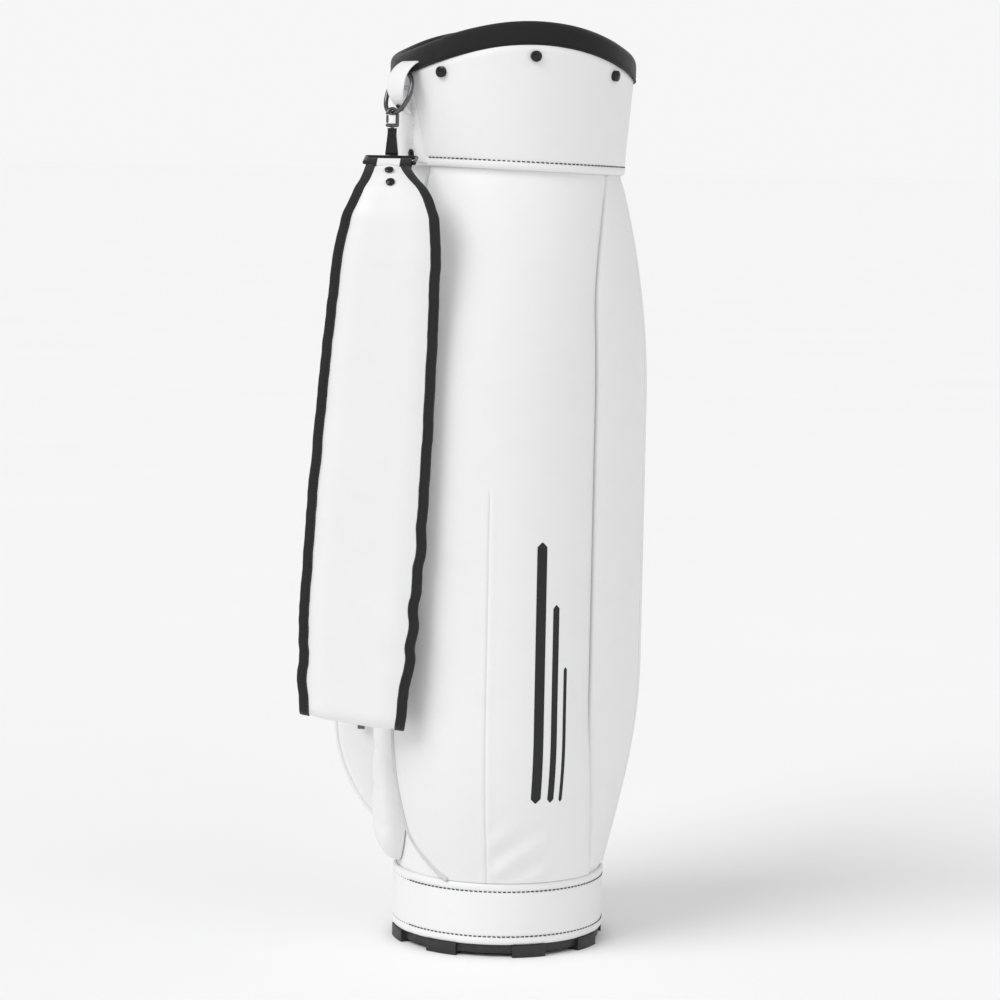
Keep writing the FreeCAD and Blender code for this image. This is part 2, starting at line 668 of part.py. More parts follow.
def strap_pad():
    runs = pad_stations()
    centres = [centre for centre, half in runs]
    sections = []
    for index, (centre, half) in enumerate(runs):
        before = centres[max(index - 1, 0)]
        after = centres[min(index + 1, len(runs) - 1)]
        along = Vector(0, after.y - before.y, after.z - before.z).normalize()
        normal = Vector(0, along.z, -along.y)
        thick = PAD_TOP_THICK if index == 0 else PAD_THICK
        x = Vector(half, 0, 0)
        n = normal * (thick / 2)
        corners = [centre - x - n, centre + x - n, centre + x + n, centre - x + n]
        sections.append(Part.makePolygon(corners + corners[:1]))
    pad = Part.makeLoft(sections, True, True)
    front = loop_front()
    side = Vector(PAD_FRONT[0][2], 0, 0)
    sleeve = rod(SLEEVE_R, front - side, front + side)
    neck_centre = (front + centres[0]) * 0.5 + Vector(0, *NECK_SHIFT)
    neck = box_about(neck_centre, 2 * PAD_FRONT[0][2], *NECK_SIZE)
    hole = rod(LOOP_WIRE + CLEAR, front - side * 2, front + side * 2)
    return on_strap(pad.fuse([sleeve, neck]).cut(hole).removeSplitter())


def strap_rivets():
    """Two domed rivets, one on each of the pad's first two sloping runs."""
    rivets = []
    runs = [Vector(pad_drift(z), y, z) for y, z, half in PAD_FRONT[:3]]
    for start, end, place in zip(runs, runs[1:], PAD_RIVETS):
        along = (end - start).normalize()
        normal = Vector(0, -along.z, along.y).normalize()
        seat = start + (end - start) * place + normal * (PAD_THICK / 2 + RIVET_GAP)
        rivets.append(on_strap(dome(RIVET_R, RIVET_RISE, seat, normal)))
    return Part.makeCompound(rivets)


def tail_ends():
    """Where the tail webbing leaves the pad and where it meets its hook."""
    y, z, half = PAD_BACK[-1]
    start = Vector(pad_drift(z), y, z + TAIL_ABOVE_PAD)
    return start, lower_hook_point() + TAIL_END


def lower_hook_point():
    """Just under the sweep of the lower ring, in the strap's frame."""
    ring = polar(RING_SWEEP_R, SPINE, RING_SWEEP_Z)
    local = ring - strap_origin()
    local.z = ring.z
    turned = Part.Vertex(local)
    turned.rotate(Vector(), UP, 90 - STRAP_FACING)
    return turned.Point


def strap_tail():
    start, end = tail_ends()
    along = (end - start).normalize()
    across = Vector(1, 0, 0)
    side = along.cross(across).normalize()
    half = across * (TAIL_WIDTH / 2)
    thick = side * (TAIL_THICK / 2)
    sections = []
    for point in (start, end):
        corners = [point - half - thick, point + half - thick, point + half + thick,
                   point - half + thick]
        sections.append(Part.makePolygon(corners + corners[:1]))
    return on_strap(Part.makeLoft(sections, True, True))


def strap_buckle():
    """A flat three-bar slider round the tail."""
    start, end = tail_ends()
    along = (end - start).normalize()
    frame = box_about(Vector(), *BUCKLE_SIZE)
    slot = box_about(Vector(), *BUCKLE_SLOT)
    out, up = BUCKLE_WINDOW_AT
    windows = [box_about(Vector(0, out, z), *BUCKLE_WINDOW) for z in (-up, up)]
    piece = frame.cut(slot).cut(Part.makeCompound(windows))
    tilt = math.degrees(math.atan2(-along.y, along.z))
    piece.rotate(Vector(), Vector(1, 0, 0), tilt)
    piece.translate(start + (end - start) * BUCKLE_PLACE)
    return on_strap(piece)


def tail_hook():
    """A small snap hook with an open mouth beside the lower ring."""
    start, end = tail_ends()
    point = lower_hook_point()
    bar = box_about(end + TAIL_BAR_AT, *TAIL_BAR)
    shank = rod(TAIL_SHANK_R, end + Vector(0, 0, TAIL_BAR_AT.z), point + KNUCKLE)
    nose = rod(TAIL_NOSE_R, point + KNUCKLE, point + NOSE_TIP)
    knuckle = Part.makeSphere(TAIL_SHANK_R, point + KNUCKLE)
    return on_strap(bar.fuse([shank, nose, knuckle]).removeSplitter())


# ---- lower ring, handle and hip pad -------------------------------------------------------------
def lower_ring_tab():
    """A plate on the spine with an eye round the ring's bar."""
    plate = box_about(Vector(0, PLATE_R, LOWER_RING_Z + PLATE_UP), *PLATE_SIZE)
    bar = Vector(0, LOWER_BAR_R, LOWER_RING_Z)
    side = Vector(EYE_LENGTH / 2, 0, 0)
    eye = rod(EYE_R, bar - side, bar + side)
    web = box_about(Vector(0, WEB_R, LOWER_RING_Z + WEB_UP), *WEB_SIZE)
    hole = rod(EYE_HOLE_R, bar - side * 2, bar + side * 2)
    return on_bag(plate.fuse([eye, web]).cut(hole).removeSplitter(), SPINE)


def lower_ring():
    """A D-shaped ring: a straight bar in the tab and a round bow below it."""
    half = LOWER_RING_R
    points = [Vector(-half, LOWER_BAR_R, LOWER_RING_Z), Vector(half, LOWER_BAR_R, LOWER_RING_Z)]
    bow_centre = Vector(0, LOWER_BAR_R + BOW_SHIFT, LOWER_RING_Z - BOW_DROP)
    for turn in range(0, -181, -30):
        bend = math.radians(turn)
        points.append(bow_centre + Vector(half * math.cos(bend), 0, half * math.sin(bend)))
    return on_bag(wire_frame(points, LOWER_RING_WIRE), SPINE)


def grab_handle():
    """A padded strip bowed out from the spine, with a flat riveted end at top and bottom."""
    middle = (HANDLE_TOP + HANDLE_BOTTOM) / 2
    half = (HANDLE_TOP - HANDLE_BOTTOM) / 2 - HANDLE_END
    outer_r = (half ** 2 + HANDLE_REACH ** 2) / (2 * HANDLE_REACH)
    centre = Vector(-HANDLE_WIDTH / 2, TUBE_R + HANDLE_REACH - outer_r, middle)
    side = Vector(1, 0, 0)
    bow = Part.makeCylinder(outer_r, HANDLE_WIDTH, centre, side)
    bow = bow.cut(Part.makeCylinder(outer_r - HANDLE_THICK, HANDLE_WIDTH, centre, side))
    seat = Vector(-HANDLE_WIDTH / 2, TUBE_R + CLEAR, 0)
    keep_half = half + 2 * JOIN
    keep = Part.makeBox(HANDLE_WIDTH, HANDLE_REACH, 2 * keep_half, seat + UP * (middle - keep_half))
    end_height = HANDLE_END + 3 * JOIN
    ends = [Part.makeBox(HANDLE_WIDTH, HANDLE_THICK - CLEAR, end_height, seat + UP * z)
            for z in (HANDLE_BOTTOM, HANDLE_TOP - end_height)]
    return on_bag(bow.common(keep).fuse(ends).removeSplitter(), SPINE)


# ---- pockets ---------------------------------------------------------------------------------
def near_ends(z):
    """The spine-side edge runs straight, then curls towards the front over its last run."""
    curl = max(0.0, 1 - (z - BAND_TOP) / CURL_HEIGHT)
    return NEAR_GUSSET + CURL_ANGLE * curl ** 2, front_edge(z, -1) - POCKET_SEAM


def front_edge(z, side):
    """Edge of the front pocket, narrow at its ends and wide where it is deepest."""
    swell = min(1.0, (z - BAND_TOP) / FRONT_LOW_RUN, (CUFF_BOTTOM - z) / FRONT_HIGH_RUN)
    return side * (FRONT_NARROW + FRONT_SWELL * math.sin(swell * math.pi / 2))


def far_ends(z):
    return front_edge(z, 1) + POCKET_SEAM, FAR_GUSSET


def front_ends(z):
    return front_edge(z, -1), front_edge(z, 1)


def hip_ends(z):
    return SPINE - HIP_HALF, SPINE + HIP_HALF


NEAR = Pocket("near_side_pocket", BAND_TOP + 0.4, POCKET_TOP, (150, 214), (1.0, 0.8),
              near_ends, (40, 38, 24), (2.5, 5.0))
FAR = Pocket("far_side_pocket", 95.0, POCKET_TOP - 8, (110, 300), (0.6, 0.8),
             far_ends, (26, 60, 71), (3.0, 5.0))
FRONT = Pocket("front_pocket", BAND_TOP + 5, POCKET_TOP - 3, (200, 214), (1.0, 0.8),
               front_ends, (24, 36, 24), (2.5, 5.0))
HIP = Pocket("hip_pad", BAND_TOP + 5, 400.0, (30, 40), (0.7, 0.7),
             hip_ends, (18, 26, 22), (3.0, 3.0))


# ---- zips ------------------------------------------------------------------------------------
# Each is drawn with its tape along Z and its face towards +Y, then stood on a pocket's wall.
class Zip:
    def __init__(self, angle, out, facing, bottom, top):
        self.seat = polar(out, angle, 0)
        self.facing = facing
        self.bottom = bottom
        self.top = top
        self.start = bottom + SLIDER_MARGIN + SLIDER_SIZE[1] / 2

    def travel(self):
        return self.top - self.bottom - 2 * SLIDER_MARGIN - SLIDER_SIZE[1]

    def place(self, shape):
        placed = shape.copy()
        placed.rotate(Vector(), UP, self.facing - 90)
        placed.translate(self.seat)
        return placed

    def pull_pivot(self):
        return Vector(0, SLIDER_BASE + SLIDER_SIZE[2] + PIN_RISE, self.start)

    def tape(self):
        """Flat tape with a raised row of teeth."""
        height = self.top - self.bottom
        middle = (self.top + self.bottom) / 2
        tape = box_about(Vector(0, ZIP_GAP + TAPE_THICK / 2, middle), TAPE_WIDTH, TAPE_THICK, height)
        teeth = box_about(Vector(0, ZIP_GAP + TAPE_THICK + TEETH_THICK / 2, middle),
                          TEETH_WIDTH, TEETH_THICK, height - SLIDER_MARGIN)
        return self.place(tape.fuse(teeth).removeSplitter())

    def slider(self):
        """Body with a bridge whose pin carries the pull."""
        width, height, thick = SLIDER_SIZE
        body = box_about(Vector(0, SLIDER_BASE + thick / 2, self.start), width, thick, height)
        post_y = SLIDER_BASE + thick + POST_SIZE[1] / 2
        posts = [box_about(Vector(end * POST_SIDE, post_y, self.start), *POST_SIZE)
                 for end in (-1, 1)]
        reach = Vector(POST_SIDE + POST_SIZE[0] / 2, 0, 0)
        pin = rod(PIN_R, self.pull_pivot() - reach, self.pull_pivot() + reach)
        return self.place(body.fuse(posts + [pin]).removeSplitter())

    def pull(self):
        """A flat pull with an eye round the slider's pin."""
        width, height, thick = PULL_SIZE
        pivot = self.pull_pivot()
        side = Vector(EYE_HALF, 0, 0)
        eye = rod(PIN_R + EYE_WALL, pivot - side, pivot + side)
        shank = box_about(pivot - Vector(0, 0, SHANK_DROP), SHANK_SIZE[0], thick, SHANK_SIZE[1])
        plate_centre = pivot - Vector(0, 0, SHANK_SIZE[1] + height / 2)
        plate = box_about(plate_centre, width, thick, height)
        hole = rod(PIN_R + PIN_FIT, pivot - side * 2, pivot + side * 2)
        return self.place(eye.fuse([shank, plate]).cut(hole).removeSplitter())


FRONT_ZIP_ANGLE = 30.0
FRONT_ZIP_BOTTOM = 285.0
FRONT_ZIP_TOP = 515.0
ZIPS = {
    "near": Zip(NEAR_GUSSET, TUBE_R + 17, NEAR_GUSSET - 90, 455.0, 655.0),
    "far": Zip(FAR_GUSSET, TUBE_R + 40, FAR_GUSSET + 90, 225.0, 420.0),
    "front": Zip(FRONT_ZIP_ANGLE, *FRONT.face_at(FRONT_ZIP_TOP, FRONT_ZIP_ANGLE),
                 FRONT_ZIP_BOTTOM, FRONT_ZIP_TOP),
}


# ---- write every node ---------------------------------------------------------------------------------
def all_nodes():
    nodes = {
        "base_tray": base_tray(),
        "tray_ring": tray_ring(),
        "base_band": base_band(),
        "shell_front_panel": shell_panel(-57, 57),
        "shell_far_panel": shell_panel(57, 158),
        "shell_spine_panel": shell_panel(158, 210),
        "shell_near_panel": shell_panel(210, 303),
        "stay_rods": stay_rods(),
        "divider_wall_long": divider_wall_long(),
        "divider_walls_cross": divider_walls_cross(),
        "top_collar": top_collar(),
        "divider_ring": divider_ring(),
        "divider_bars": divider_bars(),
        "top_cuff": top_cuff(),
        "rim_padding": rim_padding(),
        "spine_cover": spine_cover(),
        "snap_studs": Part.makeCompound([snap_stud(angle) for angle in STUD_ANGLES]),
        "body_rivets": body_rivets(),
        "ring_tab": ring_tab(),
        "strap_ring": strap_ring(),
        "snap_hook": snap_hook(),
        "hook_gate": hook_gate(),
        "hook_swivel": hook_swivel(),
        "strap_loop": strap_loop(),
        "strap_pad": strap_pad(),
        "strap_rivets": strap_rivets(),
        "strap_tail": strap_tail(),
        "strap_buckle": strap_buckle(),
        "tail_hook": tail_hook(),
        "lower_ring_tab": lower_ring_tab(),
        "lower_ring": lower_ring(),
        "grab_handle": grab_handle(),
    }
    for pocket in (NEAR, FAR, FRONT, HIP):
        nodes[pocket.name] = pocket.solid()
    for name, fastener in ZIPS.items():
        nodes[name + "_zip_tape"] = fastener.tape()
        nodes[name + "_zip_slider"] = fastener.slider()
        nodes[name + "_zip_pull"] = fastener.pull()
    return nodes


os.makedirs("parts", exist_ok=True)
for node, shape in all_nodes().items():
    shape.exportStep("parts/" + node + ".step")
    print(node, len(shape.Solids), shape.isValid(), round(shape.Volume / 1000, 2), "cm3")
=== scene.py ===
"""Visual model of the golf staff bag, in metres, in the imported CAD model's frame.

+Z is up, the spine is at -X and the front pocket at +X. Angles are in degrees about Z
from +X. Every piece is a mesh built here and rides on a CAD body.
"""
import math
import random

import bmesh
import bpy
import numpy as np
from mathutils import Matrix, Vector, noise


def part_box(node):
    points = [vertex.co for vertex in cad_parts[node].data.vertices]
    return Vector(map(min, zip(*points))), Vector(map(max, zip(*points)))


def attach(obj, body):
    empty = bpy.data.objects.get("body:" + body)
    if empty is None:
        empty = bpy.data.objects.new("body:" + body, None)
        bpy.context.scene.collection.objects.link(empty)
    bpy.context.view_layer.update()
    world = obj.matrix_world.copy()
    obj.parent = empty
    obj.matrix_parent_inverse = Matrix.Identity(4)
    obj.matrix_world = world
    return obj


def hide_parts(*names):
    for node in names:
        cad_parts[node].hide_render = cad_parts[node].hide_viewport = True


MM = 0.001
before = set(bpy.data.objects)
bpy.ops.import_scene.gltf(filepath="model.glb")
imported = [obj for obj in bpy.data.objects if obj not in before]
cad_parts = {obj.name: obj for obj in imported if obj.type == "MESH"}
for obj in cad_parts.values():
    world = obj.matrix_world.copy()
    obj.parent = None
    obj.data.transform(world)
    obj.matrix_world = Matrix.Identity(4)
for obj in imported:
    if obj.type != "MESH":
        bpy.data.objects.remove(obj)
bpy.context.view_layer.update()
boxes = {name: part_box(name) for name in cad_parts}


def low(node):
    return boxes[node][0]


def high(node):
    return boxes[node][1]


# ---- driving dimensions, from the CAD nodes ------------------------------------------------
HEIGHT = high("rim_padding").z
TUBE_R = -low("shell_spine_panel").x
BAND_R = high("base_band").y
BAND_BOTTOM = low("base_band").z
BAND_TOP = high("base_band").z
CUFF_BOTTOM = low("top_cuff").z
CUFF_TOP_Z = high("top_cuff").z
CUFF_TOP_R = high("top_cuff").y
CUFF_TAPER = 9.5 * MM                        # the cuff is this much narrower at its lower edge
CUFF_SKIN = 3 * MM
CUFF_DIP = 3.5 * MM                          # the cuff's lower edge dips at the front
RIM_SWING = 15.5 * MM
RIM_MID = HEIGHT - RIM_SWING
RIM_DEPTH = HEIGHT - CUFF_TOP_Z
RIM_OUTER_R = high("rim_padding").y
RIM_INNER_R = RIM_OUTER_R - 10.5 * MM
RIM_TUCK = 1.8 * MM                          # how far the foam is pulled in over the cuff
HEM = 8 * MM                                 # from a folded edge to its row of stitches
CLEAR = 0.3 * MM                             # gap between pieces that lie on each other
SPINE = 180.0
THREAD_R = 0.62 * MM
THREAD_LEAN = 0.12                           # how far a stitch strays from its row's direction
STITCH_PITCH = 4.6 * MM
STITCH_SHARE = 0.87                          # length of a stitch in one pitch
STITCH_SINK = 0.35 * MM
PIPING_R = 1.5 * MM
WHITE = (0.84, 0.84, 0.845)
BLACK = (0.012, 0.012, 0.013)


# ---- points, frames and paths --------------------------------------------------------------
def polar(radius, angle, z):
    turn = math.radians(angle)
    return Vector((radius * math.cos(turn), radius * math.sin(turn), z))


def outwards(angle):
    return polar(1.0, angle, 0.0)


def turned(point, angle, origin=Vector()):
    """A point drawn in a local frame with Y outwards, turned to face the given angle."""
    turn = math.radians(angle - 90)
    x = point[0] * math.cos(turn) - point[1] * math.sin(turn)
    y = point[0] * math.sin(turn) + point[1] * math.cos(turn)
    return Vector((x + origin.x, y + origin.y, point[2] + origin.z))


def smooth(value):
    """Eases 0..1 at both ends."""
    value = min(1.0, max(0.0, value))
    return value * value * (3 - 2 * value)


def ripple(point, size, seed=0.0):
    """Smooth noise from -1 to 1 whose features are about `size` long."""
    return noise.noise(Vector((seed, 2 * seed, 3 * seed)) + Vector(point) / size)


def resample(path, step):
    """Points along a polyline at an even spacing near `step`."""
    path = np.array([tuple(point) for point in path])
    runs = np.linalg.norm(np.diff(path, axis=0), axis=1)
    along = np.concatenate([[0], np.cumsum(runs)])
    count = max(2, int(round(along[-1] / step)) + 1)
    places = np.linspace(0, along[-1], count)
    return np.stack([np.interp(places, along, path[:, axis]) for axis in range(3)], axis=1)


def tangents(path, closed=False):
    path = np.asarray(path, float)
    if closed:
        steps = np.roll(path, -1, axis=0) - np.roll(path, 1, axis=0)
    else:
        steps = np.gradient(path, axis=0)
    return steps / np.maximum(np.linalg.norm(steps, axis=1, keepdims=True), 1e-12)


def unit(vectors):
    return vectors / np.maximum(np.linalg.norm(vectors, axis=-1, keepdims=True), 1e-12)


# ---- meshes ------------------------------------------------------------------------------------
CAP_UV = 3 * MM                              # height of an end cap in the texture map


def make_object(name, verts, faces, uvs=None, sharp=None):
    mesh = bpy.data.meshes.new(name)
    mesh.from_pydata([tuple(v) for v in verts], [], faces)
    if uvs is not None:
        layer = mesh.uv_layers.new(name="UVMap")
        layer.data.foreach_set("uv", np.asarray(uvs, np.float32).ravel())
    work = bmesh.new()
    work.from_mesh(mesh)
    bmesh.ops.recalc_face_normals(work, faces=work.faces)
    work.to_mesh(mesh)
    work.free()
    mesh.shade_smooth()
    if sharp:
        mesh.set_sharp_from_angle(angle=math.radians(sharp))
    piece = bpy.data.objects.new(name, mesh)
    bpy.context.scene.collection.objects.link(piece)
    return piece


def running_length(grid, axis, wrap):
    """Cumulative length of the grid's middle line along one axis, for its texture."""
    middle = grid[grid.shape[0] // 2] if axis == 1 else grid[:, grid.shape[1] // 2]
    if wrap:
        middle = np.concatenate([middle, middle[:1]])
    runs = np.linalg.norm(np.diff(middle, axis=0), axis=1)
    return np.concatenate([[0], np.cumsum(runs)])


def loft(name, grid, wrap_rows=False, sharp=None):
    """A quad mesh through grid[row][column], where each row is a closed section. An end cap
    joins each column to the one that mirrors it, so the columns come in pairs."""
    grid = np.array([[tuple(point) for point in row] for row in grid], float)
    rows, cols = grid.shape[:2]
    u = running_length(grid, 1, True)
    v = running_length(grid, 0, wrap_rows)
    faces = []
    uvs = []
    for i in range(rows if wrap_rows else rows - 1):
        for j in range(cols):
            i2 = (i + 1) % rows
            j2 = (j + 1) % cols
            faces.append((i * cols + j, i * cols + j2, i2 * cols + j2, i2 * cols + j))
            uvs += [(u[j], v[i]), (u[j + 1], v[i]), (u[j + 1], v[i + 1]), (u[j], v[i + 1])]
    if not wrap_rows:
        for first in (0, (rows - 1) * cols):
            for j in range(cols // 2 - 1):
                mirror = cols - 1 - j
                faces.append((first + j, first + j + 1, first + mirror - 1, first + mirror))
                uvs += [(u[j], 0), (u[j + 1], 0), (u[mirror - 1], CAP_UV), (u[mirror], CAP_UV)]
    return make_object(name, grid.reshape(-1, 3), faces, uvs, sharp)


def sweep(name, path, normals, profile, closed=False):
    """A closed profile of (sideways, outwards) pairs carried along a path. Sideways is
    the path's direction crossed with its outward normal."""
    path = np.array([tuple(point) for point in path], float)
    along = tangents(path, closed)
    out = np.array([tuple(n) for n in normals], float)
    out = unit(out - along * np.sum(out * along, axis=1, keepdims=True))
    side = np.cross(along, out)
    if callable(profile):
        shapes = np.array([profile(i / (len(path) - 1)) for i in range(len(path))])
    else:
        shapes = np.repeat(np.array([profile]), len(path), axis=0)
    grid = (path[:, None, :] + side[:, None, :] * shapes[:, :, :1]
            + out[:, None, :] * shapes[:, :, 1:])
    return loft(name, grid, wrap_rows=closed)


def circle(radius, count=10):
    turns = [2 * math.pi * (k + 0.5) / count for k in range(count)]
    return [(radius * math.cos(turn), radius * math.sin(turn)) for turn in turns]


def flat_oval(half_width, half_thick, count=24, power=0.45):
    """A flattened oval. The lower the power, the flatter its faces."""
    points = []
    for k in range(count):
        turn = 2 * math.pi * (k + 0.5) / count
        x = math.copysign(abs(math.cos(turn)) ** power, math.cos(turn))
        y = math.copysign(abs(math.sin(turn)) ** (2 * power), math.sin(turn))
        points.append((half_width * x, half_thick * y))
    return points


def joined(name, template, places, faces):
    """Many copies of one small closed mesh. Each place is (origin, along, out, scale)."""
    verts = []
    all_faces = []
    template = np.asarray(template, float)
    for index, (origin, along, out, scale) in enumerate(places):
        along = np.asarray(along, float)
        out = np.asarray(out, float)
        side = np.cross(along, out)
        local = template * np.asarray(scale, float)
        verts.append(np.asarray(origin, float) + local[:, :1] * along + local[:, 1:2] * side
                     + local[:, 2:] * out)
        shift = index * len(template)
        all_faces += [tuple(shift + k for k in face) for face in faces]
    verts = np.concatenate(verts)
    uvs = [(verts[k][0], verts[k][2]) for face in all_faces for k in face]
    return make_object(name, verts, all_faces, uvs)


def capsule(sides=6, rings=6):
    """A unit stitch: length 1 along X, radius 1 across, thin and pulled down at both ends."""
    thinnest = 0.25
    pull = 1.1
    verts = []
    faces = []
    for i in range(rings):
        x = i / (rings - 1) - 0.5
        end = (2 * x) ** 4
        radius = max(thinnest, math.sqrt(max(0.0, 1 - end)))
        dip = -pull * end
        for j in range(sides):
            turn = 2 * math.pi * j / sides
            verts.append((x, radius * math.cos(turn), radius * math.sin(turn) + dip))
    for i in range(rings - 1):
        for j in range(sides):
            j2 = (j + 1) % sides
            faces.append((i * sides + j, i * sides + j2, (i + 1) * sides + j2, (i + 1) * sides + j))
    faces.append(tuple(reversed(range(sides))))
    faces.append(tuple((rings - 1) * sides + j for j in range(sides)))
    return verts, faces


def stitches(name, path, normals, material, body="bag", pitch=STITCH_PITCH, radius=THREAD_R,
             slot="black_fabric"):
    """A row of separate thread stitches lying along a path."""
    points = resample(path, pitch)
    source = np.array([tuple(point) for point in path])
    template, faces = capsule()
    chance = random.Random(name)
    places = []
    for start, end in zip(points, points[1:]):
        middle = (start + end) / 2
        nearest = int(np.argmin(np.sum((source - middle) ** 2, axis=1)))
        direction = unit(end - start)
        out = np.array(tuple(normals[nearest]))
        out = unit(out - direction * np.dot(out, direction))
        sideways = np.cross(direction, out) * chance.uniform(-THREAD_LEAN, THREAD_LEAN)
        length = np.linalg.norm(end - start) * STITCH_SHARE
        places.append((middle + out * radius / 2, unit(direction + sideways), out,
                       (length, radius, radius)))
    piece = joined(name, template, places, faces)
    return finish_piece(piece, material, body, slot)


def finish_piece(piece, material, body, slot, replaces=()):
    """Gives a piece its material and its body, and hides the CAD nodes it stands for. The slot is not
    used.
    """
    piece.data.materials.clear()
    piece.data.materials.append(material)
    if replaces:
        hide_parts(*replaces)
    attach(piece, body)
    return piece


# ---- materials -----------------------------------------------------------------------------------
class Look:
    """One procedural material. Everything that is the same all over is set on the shader."""

    def __init__(self, name, **constants):
        self.material = bpy.data.materials.new(name)
        self.material.use_nodes = True
        self.tree = self.material.node_tree
        self.shader = self.tree.nodes["Principled BSDF"]
        for socket, value in constants.items():
            self.shader.inputs[socket.replace("_", " ")].default_value = value
        coordinates = self.tree.nodes.new("ShaderNodeTexCoord")
        self.object_space = coordinates.outputs["Object"]
        self.uv = coordinates.outputs["UV"]
        self.height = None

    def node(self, kind, inputs=(), **settings):
        made = self.tree.nodes.new("ShaderNode" + kind)
        for key, value in settings.items():
            setattr(made, key, value)
        for key, value in dict(inputs).items():
            if isinstance(value, bpy.types.NodeSocket):
                self.tree.links.new(value, made.inputs[key])
            else:
                made.inputs[key].default_value = value
        return made

    def noise(self, size, detail=3.0, rough=0.55, vector=None):
        """Noise whose features are about `size` metres."""
        made = self.node("TexNoise", {"Vector": vector or self.object_space, "Scale": 1 / size,
                                      "Detail": detail, "Roughness": rough})
        return made.outputs["Fac"]

    def cells(self, size, vector=None, feature="SMOOTH_F1"):
        made = self.node("TexVoronoi", {"Vector": vector or self.object_space, "Scale": 1 / size},
                         feature=feature)
        return made.outputs["Distance"]

    def bands(self, pitch, direction):
        """Sine bands across the UV map, one in each `pitch` metres."""
        made = self.node("TexWave", {"Vector": self.uv, "Scale": math.pi / (10 * pitch)},
                         bands_direction=direction)
        return made.outputs["Fac"]

    def weave(self, pitch):
        """Over-and-under threads: bands one way in half the squares, the other way in the rest."""
        squares = self.node("TexChecker", {"Vector": self.uv, "Scale": 1 / pitch}).outputs["Fac"]
        return self.blend(squares, self.bands(pitch, "X"), self.bands(pitch, "Y"))

    def blend(self, factor, first, second):
        made = self.node("Mix", data_type="FLOAT")
        for key, value in (("Factor", factor), ("A", first), ("B", second)):
            socket = next(s for s in made.inputs if s.name == key and s.type == "VALUE")
            if isinstance(value, bpy.types.NodeSocket):
                self.tree.links.new(value, socket)
            else:
                socket.default_value = value
        return next(s for s in made.outputs if s.type == "VALUE")

    def ramp(self, value, low_at, high_at, low_value, high_value):
        made = self.node("MapRange", {"Value": value, "From Min": low_at, "From Max": high_at,
                                      "To Min": low_value, "To Max": high_value})
        return made.outputs["Result"]

    def colours(self, factor, first, second):
        """Base colour between two colours."""
        made = self.node("Mix", data_type="RGBA")
        sockets = [s for s in made.inputs if s.type == "RGBA"]
        for socket, colour in zip(sockets, (first, second)):
            if isinstance(colour, bpy.types.NodeSocket):
                self.tree.links.new(colour, socket)
            else:
                socket.default_value = (*colour, 1.0)
        self.tree.links.new(factor, next(s for s in made.inputs if s.type == "VALUE"))
        result = next(s for s in made.outputs if s.type == "RGBA")
        self.tree.links.new(result, self.shader.inputs["Base Color"])
        return result

    def roughness(self, value):
        self.tree.links.new(value, self.shader.inputs["Roughness"])

    def bump(self, height, distance, strength=1.0):
        made = self.node("Bump", {"Height": height, "Distance": distance, "Strength": strength})
        if self.height is not None:
            self.tree.links.new(self.height, made.inputs["Normal"])
        self.height = made.outputs["Normal"]
        self.tree.links.new(self.height, self.shader.inputs["Normal"])


PEBBLE = 1.1 * MM                            # size and depth of the leather's grain
PEBBLE_DEPTH = 0.10 * MM


def shade(colour, factor):
    return tuple(channel * factor for channel in colour)


def leather(name, colour, grain=PEBBLE, depth=PEBBLE_DEPTH):
    """Coated synthetic leather: a fine pebble, broad tone changes and faint handling marks."""
    look = Look(name, Specular_IOR_Level=0.42, Sheen_Weight=0.04, Sheen_Roughness=0.5)
    pebble = look.cells(grain)
    tone = look.noise(90 * MM, 4)
    smudge = look.ramp(look.noise(28 * MM, 5, 0.65), 0.5, 0.72, 0.0, 0.35)
    aged = look.colours(tone, shade(colour, 0.965), colour)
    look.colours(smudge, aged, shade(colour, 0.93))
    look.roughness(look.ramp(look.noise(12 * MM, 4), 0.3, 0.7, 0.42, 0.55))
    look.bump(look.noise(35 * MM, 3), 0.8 * MM, 0.25)
    look.bump(pebble, depth, 0.45)
    return look.material


def tube_wall(name, colour, lining):
    """Leather on the outside of the tube, dark lining on the inside."""
    look = Look(name, Specular_IOR_Level=0.42)
    apart = look.node("SeparateXYZ", {"Vector": look.object_space})
    flat = look.node("CombineXYZ", {"X": apart.outputs["X"], "Y": apart.outputs["Y"]})
    radius = look.node("VectorMath", {0: flat.outputs["Vector"]}, operation="LENGTH")
    outside = look.ramp(radius.outputs["Value"], TUBE_R - 0.6 * MM, TUBE_R - 0.5 * MM, 0.0, 1.0)
    tone = look.noise(90 * MM, 4)
    skin = look.colours(tone, shade(colour, 0.965), colour)
    look.colours(outside, lining, skin)
    look.roughness(look.ramp(look.noise(12 * MM, 4), 0.3, 0.7, 0.42, 0.6))
    look.bump(look.noise(35 * MM, 3), 0.8 * MM, 0.25)
    look.bump(look.cells(PEBBLE), PEBBLE_DEPTH, 0.45)
    return look.material


def webbing(name, colour, pitch=1.6 * MM, sheen=0.25):
    """Ribbed woven tape."""
    look = Look(name, Specular_IOR_Level=0.3, Sheen_Weight=sheen, Sheen_Roughness=0.4)
    ribs = look.weave(pitch)
    fuzz = look.noise(0.7 * MM, 3)
    wear = look.blend(look.noise(14 * MM, 4), ribs, fuzz)
    look.colours(wear, shade(colour, 0.55), shade(colour, 1.9))
    look.roughness(look.ramp(fuzz, 0.2, 0.8, 0.62, 0.85))
    look.bump(fuzz, 0.08 * MM, 0.4)
    look.bump(ribs, 0.35 * MM, 0.8)
    return look.material


